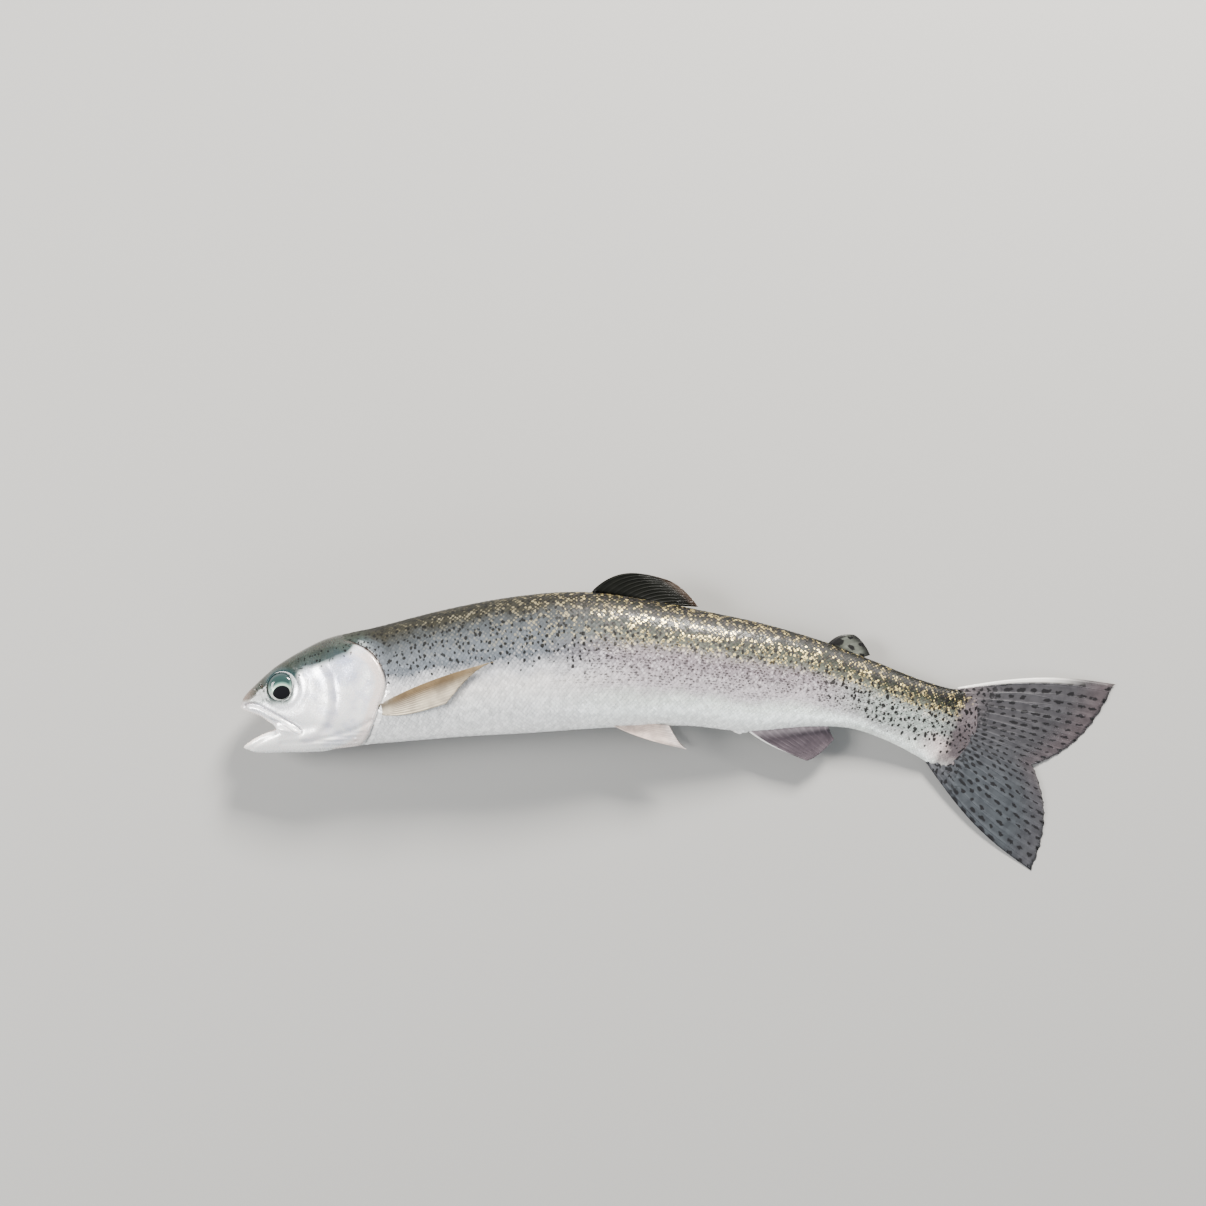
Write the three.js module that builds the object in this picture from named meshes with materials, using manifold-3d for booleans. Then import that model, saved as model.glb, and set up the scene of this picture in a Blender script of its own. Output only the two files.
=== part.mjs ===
// A life-size rainbow trout, freshly caught, lying at rest on its right side with its mouth open.
//
// The fish is drawn straight first, in its own measures, then bent into its resting pose:
//   s runs along the spine from the snout, n rises towards the back, b goes out towards the left flank.
// Straight solids hold (s, n, b) as (x, y, z). Everything is in millimetres.
// In the resting pose +Z is up, the head points to -X, the back to +Y and the left flank faces up.
import * as THREE from "three";
import { mergeVertices } from "three/addons/utils/BufferGeometryUtils.js";
import Module from "manifold-3d";

const wasm = await Module();
wasm.setup();

// ---- Driving dimensions ---------------------------------------------------------------------------------

const GAP = 0.3; // the thin cut that parts neighbouring pieces
const AROUND = 24; // sides of a body section
const BALL_SIDES = [14, 8]; // facets round and down an ellipsoid
const CLEAR = 30; // further out to either side than any part of the body
const SKULL_START = 0.6; // the upper lip's tip
const THINNEST = 0.1; // a section shrunk inwards never gets thinner than this
const TAIL_ROOT = 236; // where the flesh ends in the tail fin
const BODY_CUTS = { neck: 45, waist: 118, vent: 200 }; // where head, trunk lengths and tail stalk part

// Body sections: s, height of the back, height of the belly, level of the widest line, half width, and
// how full the side is above and below that line (2 is an ellipse, more is flatter-sided).
const BODY_SECTIONS = [
  [0.6, 3.2, 1.9, 2.5, 0.9, 2, 2],
  [1.8, 5.3, 0.9, 2.4, 2.7, 2.1, 2],
  [3.5, 6.8, 0.1, 2.2, 4.1, 2.2, 2],
  [6.5, 8.7, -1.7, 1.6, 5.4, 2.3, 2.1],
  [10, 10.8, -5.4, 0.2, 6.5, 2.5, 2.3],
  [14.5, 13.2, -8.8, -1.6, 7.5, 2.6, 2.4],
  [23, 16.2, -13.2, -3, 9.2, 2.5, 2.4],
  [32, 18.4, -17, -2.6, 10.9, 2.3, 2.3],
  [41, 18.8, -18.4, -2, 11.8, 2.2, 2.2],
  [50, 18.8, -19.6, -1.5, 12.2, 2.1, 2.2],
  [70, 20, -21.7, -1.2, 12.8, 2.05, 2.2],
  [92, 21.1, -23.4, -1, 13.4, 2.05, 2.2],
  [112, 21.3, -23.3, -0.8, 13.1, 2.05, 2.15],
  [133, 19.3, -21.8, -0.6, 11.9, 2.05, 2.1],
  [150, 17.8, -20, -0.4, 10.6, 2, 2],
  [169, 16.7, -19, 0, 8.8, 2, 1.9],
  [190, 14.7, -13.6, 0.5, 6.6, 2, 2],
  [204, 13, -10.8, 0.9, 5.3, 2, 2.1],
  [218, 12.1, -10.8, 1, 4.3, 2.1, 2.1],
  [229, 12.9, -11.7, 1, 3.2, 2.1, 2.1],
  [236, 14.6, -12.6, 1, 1.5, 2.1, 2.1],
];
// Lower jaw sections in the same columns, from its tip to where it sinks into the throat.
const JAW_SECTIONS = [
  [-1.2, -8.9, -10.4, -9.6, 0.9, 2, 2],
  [-0.2, -7.4, -12, -9.4, 2.4, 2.2, 2],
  [2, -6.8, -13, -9, 3.8, 2.4, 2],
  [6, -6.6, -13.9, -8.8, 5.1, 2.5, 2],
  [12, -6.4, -14.9, -9, 6.6, 2.5, 2],
  [20, -7, -16.4, -10.2, 8, 2.3, 2.1],
  [27, -8, -17, -11.6, 8.6, 2.1, 2.2],
  [34, -9.5, -16.4, -13, 7, 2, 2.2],
];

// The spine's heading at stations along it, in degrees: the fish arches its back over the middle.
const SPINE_HEADING = [
  [0, 12],
  [50, 12],
  [95, 5.5],
  [120, -1.5],
  [145, -7],
  [190, -13],
  [230, -23],
  [290, -24],
];
// Height of the fish's middle plane above the floor: the limp tail sinks until it lies flat.
const RESTING_HEIGHT = [
  [-2, 10.9],
  [50, 11.8],
  [92, 13],
  [112, 12.7],
  [150, 10.2],
  [190, 6.2],
  [218, 3.9],
  [236, 2.4],
  [258, 1.2],
  [281, 0.3],
  [290, 0.3],
];

const EYE = { s: 16.2, n: 5.9, b: 5, radius: 4.9, depth: 3.2 };
// The open mouth, seen from the side.
const GAPE = [
  [-6, 2.6],
  [0.4, 1.9],
  [2.8, 0.4],
  [6.5, -1.7],
  [8.2, -3.4],
  [9.8, -5.7],
  [5.2, -7.5],
  [-0.2, -7.1],
  [-6, -6.9],
];
const MOUTH = { s: 12, n: -4.8, length: 12, height: 6.4, width: 4.8 };
const TONGUE = { s: 9.6, n: -10, length: 6.4, height: 2, width: 2.7 };
// Everything in front of and below this line belongs to the lower jaw.
const JAW_LINE = [
  [-8, -4],
  [9.6, -5.8],
  [16, -10.4],
  [22, -12.9],
  [25.5, -15],
  [26, -22],
  [-8, -22],
];
// The upper jaw's blade on the cheek, round at its rear end.
const MAXILLA = [
  [3, 2.6],
  [6.6, 2],
  [10.6, -0.9],
  [14.6, -4],
  [18.6, -7.6],
  [18.8, -10],
  [16.8, -10.8],
  [14.2, -9.4],
  [10.2, -6],
  [7.8, -2.6],
  [4.4, -0.3],
];
const MAXILLA_DEPTH = { sunk: 1, proud: 0.45, innermost: 2.2 };
// The gill cover's outline, from the top of its front edge round by the back.
const GILL_COVER = [
  [33, 13.2],
  [36.5, 15.4],
  [41, 14.7],
  [45, 12.2],
  [47.9, 8.1],
  [49.2, 3],
  [48.6, -1],
  [45.6, -5.8],
  [42.6, -10.6],
  [38.6, -15.6],
  [33, -18.6],
  [26.8, -15.6],
  [24, -11.8],
  [28.4, -7],
  [31, -1],
  [31.8, 7],
];
const COVER_DEPTH = { sunk: 1.6, proud: 0.6, innermost: 1 };

const FIN_EDGE = 0.6; // thickness of a fin's free edge
const DORSAL = {
  base: [[114.5, 20.3], [137, 17.9]],
  tips: [[137, 26.2], [147.5, 18.7]],
  bow: [4.4, 0],
  root: 2.2,
};
const ADIPOSE = {
  base: [[189.5, 13.6], [199, 12.4]],
  tips: [[197, 19.2], [203.6, 14.2]],
  bow: [1.6, -0.6],
  root: 1.6,
};
const ANAL = {
  base: [[168.6, -18.2], [196.4, -11.4]],
  tips: [[192, -24.6], [200.4, -13.2]],
  bow: [-1.2, -2.2],
  root: 1.8,
};
const CAUDAL = {
  root: 234.6, // the rays start just inside the flesh
  rootHeight: 13.4,
  middle: 1,
  fork: 266.6,
  tip: 280.6,
  spread: { up: [26, 9.6], down: [25.5, 6.6] }, // linear and cubic growth of the lobes' height
  bow: 3,
  thick: 2.4,
};
// Paired fins hug the body: base and tips as s, n, and how far they stand off its side.
const PECTORAL_LEFT = {
  base: [[45.4, -4.6], [47.4, -10]],
  tips: [[86, 1.4], [68, -9.4]],
  bow: [1.2, -1.8],
  standOff: [0.55, 1.8],
  root: 1.3,
};
const PECTORAL_RIGHT = {
  base: [[46, -7.6], [47.6, -12]],
  tips: [[85, -11.4], [66, -17.4]],
  bow: [-0.6, -1.4],
  root: 1.2,
};
const PELVIC = {
  base: [[119, -19.6], [125.4, -19]],
  tips: [[150.2, -27.4], [142.6, -20.2]],
  bow: [-1.8, -0.6],
  reach: { root: 3.6, tipLeft: 3, tipRight: 7.5 }, // distance of the fin from the middle plane
  root: 1.2,
};

// ---- Curves and sections --------------------------------------------------------------------------------

const mix = THREE.MathUtils.lerp;

// A smooth curve through rows of [place, value, value, ...], with slopes taken from each row's neighbours.
function smoothRows(rows) {
  const slope = (i, k) => {
    const before = rows[Math.max(i - 1, 0)];
    const after = rows[Math.min(i + 1, rows.length - 1)];
    return (after[k] - before[k]) / (after[0] - before[0]);
  };
  return (place) => {
    const last = rows.length - 2;
    let i = rows.findIndex((row) => row[0] > place) - 1;
    if (i === -2) i = last;
    i = THREE.MathUtils.clamp(i, 0, last);
    const step = rows[i + 1][0] - rows[i][0];
    const t = THREE.MathUtils.clamp((place - rows[i][0]) / step, 0, 1);
    const [t2, t3] = [t * t, t * t * t];
    return rows[i].slice(1).map((value, column) => {
      const k = column + 1;
      return (
        (2 * t3 - 3 * t2 + 1) * value +
        (t3 - 2 * t2 + t) * step * slope(i, k) +
        (3 * t2 - 2 * t3) * rows[i + 1][k] +
        (t3 - t2) * step * slope(i + 1, k)
      );
    });
  };
}

const bodySection = smoothRows(BODY_SECTIONS);
const jawSection = smoothRows(JAW_SECTIONS);
const headingAt = smoothRows(SPINE_HEADING);
const restingHeight = smoothRows(RESTING_HEIGHT);

// Half width of the body at (s, n).
function sideOfBody(s, n) {
  const [back, belly, level, half, backFull, bellyFull] = bodySection(s);
  const full = n > level ? backFull : bellyFull;
  const share = Math.min(Math.abs((n - level) / ((n > level ? back : belly) - level)), 1);
  return half * (1 - share ** full) ** (1 / full);
}

// A capped cylinder shaped into a run of sections, grown outwards by grow. The sections stand closer
// together near the start when crowd is over 1.
function loft(section, [from, to], steps, crowd, grow) {
  const tube = new THREE.CylinderGeometry(1, 1, 1, AROUND, steps);
  return shaped(tube, (x, y, z) => {
    const s = mix(from, to, (y + 0.5) ** crowd);
    const [back, belly, level, half, backFull, bellyFull] = section(s);
    const angle = Math.atan2(x, z);
    const [rise, out] = [Math.cos(angle), Math.sin(angle)];
    const power = 2 / (rise > 0 ? backFull : bellyFull);
    const reach = Math.max((rise > 0 ? back - level : level - belly) + grow, THINNEST);
    const radius = Math.min(Math.hypot(x, z), 1);
    const n = level + radius * Math.sign(rise) * Math.abs(rise) ** power * reach;
    const wide = Math.max(half + grow, THINNEST);
    return [s, n, radius * Math.sign(out) * Math.abs(out) ** power * wide];
  });
}

// Moves every vertex of a geometry to place(x, y, z).
function shaped(geometry, place) {
  const position = geometry.getAttribute("position");
  for (let i = 0; i < position.count; i++) {
    position.setXYZ(i, ...place(position.getX(i), position.getY(i), position.getZ(i)));
  }
  return geometry;
}

// ---- Solids ---------------------------------------------------------------------------------------------

// A closed geometry as a solid, with its faces turned outwards if its shaping mirrored them.
function solid(geometry) {
  const bare = new THREE.BufferGeometry();
  bare.setAttribute("position", geometry.getAttribute("position"));
  bare.setIndex(geometry.getIndex());
  const merged = mergeVertices(bare, 1e-3);
  const vertProperties = new Float32Array(merged.getAttribute("position").array);
  const triVerts = new Uint32Array(merged.getIndex().array);
  const made = new wasm.Manifold(new wasm.Mesh({ numProp: 3, vertProperties, triVerts }));
  if (made.volume() > 0) return made;
  triVerts.reverse();
  return new wasm.Manifold(new wasm.Mesh({ numProp: 3, vertProperties, triVerts }));
}

function geometryOf(made) {
  const mesh = made.getMesh();
  const geometry = new THREE.BufferGeometry();
  geometry.setAttribute("position", new THREE.BufferAttribute(mesh.vertProperties, 3));
  geometry.setIndex(new THREE.BufferAttribute(mesh.triVerts, 1));
  return geometry;
}

// The largest body of a solid: slivers that a cut leaves behind are dropped.
function mainBody(made) {
  return made.decompose().reduce((a, b) => (b.volume() > a.volume() ? b : a));
}

// A prism over an outline of [s, n] points, from b = low to b = high. Round outlines are splined.
function prism(outline, low, high, round = false) {
  const points = outline.map(([s, n]) => new THREE.Vector2(s, n));
  const shape = new THREE.Shape();
  if (round) {
    shape.moveTo(points[0].x, points[0].y);
    shape.splineThru([...points.slice(1), points[0]]);
  } else {
    shape.setFromPoints(points);
  }
  const options = { depth: high - low, bevelEnabled: false, curveSegments: 2 };
  const geometry = mergeVertices(new THREE.ExtrudeGeometry(shape, options).deleteAttribute("uv"));
  return solid(geometry.translate(0, 0, low));
}

// An ellipsoid with its long half axes along s, n and b.
function ellipsoid(s, n, b, length, height, width, grow = 0) {
  const ball = new THREE.SphereGeometry(1, ...BALL_SIDES);
  ball.scale(length + grow, height + grow, width + grow);
  return solid(ball.translate(s, n, b));
}

// Everything on the snout side of a slanted cut through s at mid height.
function aheadOf(s, lean = 0.08) {
  const shift = lean * CLEAR;
  const cut = [[-CLEAR, CLEAR], [s + shift, CLEAR], [s - shift, -CLEAR], [-CLEAR, -CLEAR]];
  return prism(cut, -CLEAR, CLEAR);
}

// Moves every point of a clockwise outline outwards, square to the line through its neighbours.
function grown(outline, by) {
  return outline.map(([s, n], i) => {
    const before = outline.at(i - 1);
    const after = outline[(i + 1) % outline.length];
    const [ds, dn] = [after[0] - before[0], after[1] - before[1]];
    const length = Math.hypot(ds, dn);
    return [s - (dn / length) * by, n + (ds / length) * by];
  });
}

// ---- Head and body --------------------------------------------------------------------------------------

const BODY_SPAN = [SKULL_START, TAIL_ROOT];
const BODY_STEPS = { count: 30, crowd: 1.5 };
const JAW_SPAN = [JAW_SECTIONS[0][0], JAW_SECTIONS.at(-1)[0]];
const JAW_STEPS = { count: 8, crowd: 1.2 };

function bodyForm(grow) {
  const trunk = loft(bodySection, BODY_SPAN, BODY_STEPS.count, BODY_STEPS.crowd, grow);
  const jaw = loft(jawSection, JAW_SPAN, JAW_STEPS.count, JAW_STEPS.crowd, grow);
  return solid(trunk).add(solid(jaw));
}

const wholeBody = bodyForm(0);
const clearOfBody = bodyForm(GAP);

function eyeball(side, grow = 0) {
  const { s, n, b, radius, depth } = EYE;
  return ellipsoid(s, n, side * b, radius, radius, depth, grow);
}

// A plate let into the side of the head: cut by its outline from a skin of the head, over a pocket.
function sidePlate(outline, { sunk, proud, innermost }) {
  const skinOut = bodyForm(proud);
  const skinIn = bodyForm(-sunk);
  const pocketFloor = bodyForm(-sunk - GAP);
  const column = (side, by, inner) => {
    const range = side > 0 ? [inner, CLEAR] : [-CLEAR, -inner];
    return prism(grown(outline, by), ...range, true);
  };
  return {
    plate: (side) => mainBody(skinOut.intersect(column(side, 0, innermost)).subtract(skinIn)),
    pocket: (side) => column(side, GAP, innermost - GAP).subtract(pocketFloor),
    above: (side) => column(side, GAP, innermost - GAP),
  };
}

const gillCover = sidePlate(GILL_COVER, COVER_DEPTH);
const maxilla = sidePlate(MAXILLA, MAXILLA_DEPTH);

const gape = prism(GAPE, -CLEAR, CLEAR);
const mouth = ellipsoid(MOUTH.s, MOUTH.n, 0, MOUTH.length, MOUTH.height, MOUTH.width);
const jawSide = prism(JAW_LINE, -CLEAR, CLEAR);

let carved = wholeBody.subtract(gape).subtract(mouth);
for (const side of [1, -1]) {
  carved = carved.subtract(eyeball(side, GAP));
  carved = carved.subtract(maxilla.pocket(side));
  carved = carved.subtract(gillCover.pocket(side));
}

const lowerJaw = mainBody(carved.intersect(jawSide.translate([-GAP * 0.6, -GAP * 0.8, 0])));
const aboveJaw = carved.subtract(jawSide);
const head = mainBody(aboveJaw.intersect(aheadOf(BODY_CUTS.neck - GAP)));
const behindHead = aboveJaw.subtract(aheadOf(BODY_CUTS.neck));
const trunkFront = mainBody(behindHead.intersect(aheadOf(BODY_CUTS.waist - GAP, 0)));
const behindWaist = behindHead.subtract(aheadOf(BODY_CUTS.waist, 0));
const trunkRear = mainBody(behindWaist.intersect(aheadOf(BODY_CUTS.vent - GAP, 0)));
const tailStalk = mainBody(behindWaist.subtract(aheadOf(BODY_CUTS.vent, 0)));

const tongueBed = ellipsoid(MOUTH.s, MOUTH.n, 0, MOUTH.length, MOUTH.height, MOUTH.width, -GAP);
const tongue = ellipsoid(TONGUE.s, TONGUE.n, 0, TONGUE.length, TONGUE.height, TONGUE.width);

// ---- Fins -----------------------------------------------------------------------------------------------

// A point of a fin: u runs from its leading ray to its last one, v from its root to its free edge.
function finPoint({ base, tips, bow }, u, v) {
  const fan = u ** 0.9;
  const root = [mix(base[0][0], base[1][0], u), mix(base[0][1], base[1][1], u)];
  const edge = [mix(tips[0][0], tips[1][0], fan), mix(tips[0][1], tips[1][1], fan ** 1.6)];
  const lift = mix(bow[0], bow[1], u) * Math.sin(Math.PI * v ** 0.8);
  return [mix(root[0], edge[0], v), mix(root[1], edge[1], v) + lift];
}

// A thin plate shaped by place(u, v), which gives the fin's middle; it thins out towards its edges.
function finPlate(across, along, root, place) {
  const plate = new THREE.BoxGeometry(1, 1, 1, across, along, 1);
  return solid(shaped(plate, (x, y, z) => {
    const [u, v] = [x + 0.5, y + 0.5];
    const [s, n, b] = place(u, v);
    const rim = 1 - Math.abs(2 * u - 1) ** 4;
    return [s, n, b + z * mix(FIN_EDGE, root, (1 - v) * rim)];
  }));
}

const medianFin = (fin) => finPlate(8, 6, fin.root, (u, v) => [...finPoint(fin, u, v), 0]);

function caudalPoint(u, v) {
  const w = 1 - 2 * u;
  const [linear, cubic] = w > 0 ? CAUDAL.spread.up : CAUDAL.spread.down;
  const root = [CAUDAL.root - 1.5 * w * w, CAUDAL.middle + CAUDAL.rootHeight * w];
  const reach = CAUDAL.tip - (CAUDAL.tip - CAUDAL.fork) * (1 - Math.abs(w)) ** 2;
  const edge = [reach, CAUDAL.middle + linear * w + cubic * w ** 3];
  const bow = CAUDAL.bow * w * Math.abs(w) * Math.sin(Math.PI * v);
  return [mix(root[0], edge[0], v), mix(root[1], edge[1], v) + bow, 0];
}

// The upper pectoral fin is folded back along the flank.
const pectoralLeft = finPlate(6, 8, PECTORAL_LEFT.root, (u, v) => {
  const [s, n] = finPoint(PECTORAL_LEFT, u, v);
  const [near, far] = PECTORAL_LEFT.standOff;
  return [s, n, sideOfBody(s, n) + mix(near, far, v * v)];
});

// The lower one is trapped under the belly and lies on the floor.
const pectoralRight = finPlate(6, 8, PECTORAL_RIGHT.root, (u, v) => {
  const [s, n] = finPoint(PECTORAL_RIGHT, u, v);
  const onFloor = -restingHeight(s)[0] + 0.45;
  const onBody = -sideOfBody(s, n) - 0.9;
  return [s, n, mix(onBody, onFloor, Math.min(v * 5, 1))];
});

// The pelvic fins hang from either side of the belly; the lower one droops towards the floor.
function pelvic(side) {
  const { reach, root } = PELVIC;
  const tip = side > 0 ? reach.tipLeft : reach.tipRight;
  return finPlate(6, 6, root, (u, v) => {
    const [s, n] = finPoint(PELVIC, u, v);
    return [s, n, side * mix(reach.root - 1.6 * u, tip + 1.2 * u, v)];
  });
}

// ---- Resting pose ---------------------------------------------------------------------------------------

const SPINE_STEP = 0.5;
const spineTable = [[0, 0]];
for (let s = 0; s < 300; s += SPINE_STEP) {
  const heading = THREE.MathUtils.degToRad(headingAt(s + SPINE_STEP / 2)[0]);
  const [x, y] = spineTable.at(-1);
  spineTable.push([x + SPINE_STEP * Math.cos(heading), y + SPINE_STEP * Math.sin(heading)]);
}

// Bends a straight point (s, n, b) into the resting pose.
function posed(s, n, b) {
  const heading = THREE.MathUtils.degToRad(headingAt(Math.max(s, 0))[0]);
  const at = Math.max(s, 0) / SPINE_STEP;
  const i = Math.floor(at);
  const [x0, y0] = spineTable[i];
  const [x1, y1] = spineTable[i + 1];
  const before = Math.min(s, 0); // the jaw's tip juts a little ahead of the spine's start
  const x = mix(x0, x1, at - i) + before * Math.cos(heading);
  const y = mix(y0, y1, at - i) + before * Math.sin(heading);
  return [x - n * Math.sin(heading), y + n * Math.cos(heading), restingHeight(s)[0] + b];
}

const FLOOR_SIZE = 1000;
const underFloor = solid(
  new THREE.BoxGeometry(FLOOR_SIZE, FLOOR_SIZE, FLOOR_SIZE).translate(0, 0, -FLOOR_SIZE / 2),
);

// Bends a straight solid and trims it flat where the floor presses on it.
function rested(made) {
  const bent = solid(shaped(geometryOf(made), posed));
  return geometryOf(mainBody(bent.subtract(underFloor)));
}

// ---- Materials and meshes -------------------------------------------------------------------------------

function finish(color, roughness, metalness) {
  return () => new THREE.MeshStandardMaterial({ color, roughness, metalness });
}
const silverSkin = finish(0xb9bdb6, 0.35, 0.35);
const headSkin = finish(0xc9ccc9, 0.3, 0.35);
const coverSkin = finish(0xe2dcda, 0.25, 0.45);
const jawSkin = finish(0xd9dad4, 0.4, 0.15);
const finRays = finish(0x8f8b8c, 0.45, 0);
const eyeGloss = finish(0x9fb0a8, 0.05, 0.2);
const mouthLining = finish(0xc49a92, 0.5, 0);

const clear = (fin) => mainBody(fin.subtract(clearOfBody));
const clearOfCover = (side, fin) => clear(fin.subtract(gillCover.above(side)));
const pieces = [
  ["head", head, headSkin],
  ["lower_jaw", lowerJaw, jawSkin],
  ["tongue", mainBody(tongue.intersect(tongueBed)), mouthLining],
  ["maxilla_left", maxilla.plate(1), jawSkin],
  ["maxilla_right", maxilla.plate(-1), jawSkin],
  ["eye_left", eyeball(1), eyeGloss],
  ["eye_right", eyeball(-1), eyeGloss],
  ["gill_cover_left", gillCover.plate(1), coverSkin],
  ["gill_cover_right", gillCover.plate(-1), coverSkin],
  ["trunk_front", trunkFront, silverSkin],
  ["trunk_rear", trunkRear, silverSkin],
  ["tail_stalk", tailStalk, silverSkin],
  ["fin_dorsal", clear(medianFin(DORSAL)), finRays],
  ["fin_adipose", clear(medianFin(ADIPOSE)), finRays],
  ["fin_anal", clear(medianFin(ANAL)), finRays],
  ["fin_caudal", clear(finPlate(16, 6, CAUDAL.thick, caudalPoint)), finRays],
  ["fin_pectoral_left", clearOfCover(1, pectoralLeft), finRays],
  ["fin_pectoral_right", clearOfCover(-1, pectoralRight), finRays],
  ["fin_pelvic_left", clear(pelvic(1)), finRays],
  ["fin_pelvic_right", clear(pelvic(-1)), finRays],
];

const lyingFish = new THREE.Group();
for (const [name, made, material] of pieces) {
  const mesh = new THREE.Mesh(rested(made), material());
  mesh.name = name;
  lyingFish.add(mesh);
}

// The frame's origin is on the floor under the middle of the fish's bounding box.
const middle = new THREE.Box3().setFromObject(lyingFish).getCenter(new THREE.Vector3());
lyingFish.position.set(-middle.x, -middle.y, 0);

const trout = new THREE.Group();
trout.add(lyingFish);
export default trout;
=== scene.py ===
from functools import partialmethod

import bpy
import numpy as np
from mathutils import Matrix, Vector


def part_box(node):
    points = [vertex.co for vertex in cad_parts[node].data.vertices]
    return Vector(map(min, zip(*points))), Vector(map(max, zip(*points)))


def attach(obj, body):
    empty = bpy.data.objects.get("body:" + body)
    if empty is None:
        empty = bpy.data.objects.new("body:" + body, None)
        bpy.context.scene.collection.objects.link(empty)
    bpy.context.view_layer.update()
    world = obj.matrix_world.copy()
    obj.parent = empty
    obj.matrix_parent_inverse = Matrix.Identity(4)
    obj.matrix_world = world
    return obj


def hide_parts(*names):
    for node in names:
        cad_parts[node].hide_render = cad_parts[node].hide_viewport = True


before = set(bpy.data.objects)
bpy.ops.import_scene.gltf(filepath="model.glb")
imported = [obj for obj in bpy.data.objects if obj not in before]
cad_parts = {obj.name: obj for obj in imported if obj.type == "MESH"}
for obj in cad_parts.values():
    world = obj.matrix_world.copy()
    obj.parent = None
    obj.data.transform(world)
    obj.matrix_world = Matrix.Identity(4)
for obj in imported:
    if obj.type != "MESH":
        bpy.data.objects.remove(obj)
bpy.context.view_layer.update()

# ---- The floor -------------------------------------------------------------------------------------------
# A plain pale sweep of matt board under the fish. It isn't part of the fish.
FLOOR_HALF = 1.6


def set_out(name, made):
    """Puts a mesh, a lamp or a camera in the scene as an object."""
    placed = bpy.data.objects.new(name, made)
    bpy.context.collection.objects.link(placed)
    return placed


floor_mesh = bpy.data.meshes.new("floor")
corners = [(-1, -1, 0), (1, -1, 0), (1, 1, 0), (-1, 1, 0)]
floor_mesh.from_pydata([Vector(c) * FLOOR_HALF for c in corners], [], [(0, 1, 2, 3)])
floor = set_out("floor", floor_mesh)
board = bpy.data.materials.new("pale_board")
board.use_nodes = True
board_shader = board.node_tree.nodes["Principled BSDF"]
board_shader.inputs["Base Color"].default_value = (0.29, 0.288, 0.28, 1)
board_shader.inputs["Roughness"].default_value = 0.8
floor_mesh.materials.append(board)

# ---- The studio light ------------------------------------------------------------------------------------
# A large soft key from the head and back side, a low fill across the belly and a pale room.
world = bpy.data.worlds.new("pale_room")
bpy.context.scene.world = world
world.use_nodes = True
world.node_tree.nodes["Background"].inputs["Color"].default_value = (0.93, 0.96, 1.0, 1)
world.node_tree.nodes["Background"].inputs["Strength"].default_value = 0.42

SOFT_BOXES = {  # place in metres, width, height, watts, colour
    "key": ((0.28, 0.85, 0.5), 0.3, 0.22, 50, (1.0, 0.96, 0.9)),
    "front": ((-0.85, 0.12, 0.55), 0.4, 0.4, 20, (1.0, 0.98, 0.95)),
    "fill": ((0.35, -0.75, 0.4), 0.6, 0.4, 6, (0.9, 0.95, 1.0)),
}
for name, (place, width, height, watts, colour) in SOFT_BOXES.items():
    lamp = bpy.data.lights.new(name, "AREA")
    lamp.shape = "RECTANGLE"
    lamp.size, lamp.size_y = width, height
    lamp.energy = watts
    lamp.color = colour
    box = set_out(name, lamp)
    box.location = place
    box.rotation_euler = (-Vector(place)).to_track_quat("-Z", "Y").to_euler()

# ---- The camera ------------------------------------------------------------------------------------------
# It looks straight down on the left flank, with the fish low and right of the middle of the frame.
MM = 0.001
FRAME_PX = 1206
PX_PER_MM = 3.1
FISH_MIDDLE_PX = (684, 725.5)
FLANK_HEIGHT = 0.013
CAMERA_REACH = 0.5
frame_width = FRAME_PX / PX_PER_MM * MM
lens = bpy.data.cameras.new("camera")
lens.sensor_width = 36
lens.lens = lens.sensor_width * CAMERA_REACH / frame_width
camera = set_out("camera", lens)
camera.location = (
    (FRAME_PX / 2 - FISH_MIDDLE_PX[0]) / PX_PER_MM * MM,
    (FISH_MIDDLE_PX[1] - FRAME_PX / 2) / PX_PER_MM * MM,
    FLANK_HEIGHT + CAMERA_REACH,
)
bpy.context.scene.camera = camera

# ---- The skin --------------------------------------------------------------------------------------------
# One unbroken skin covers the head, jaws, gill covers, trunk and tail stalk. It is the living fish's own
# wet surface: bare over the head, and lying just under the scales from the gill covers back.

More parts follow.
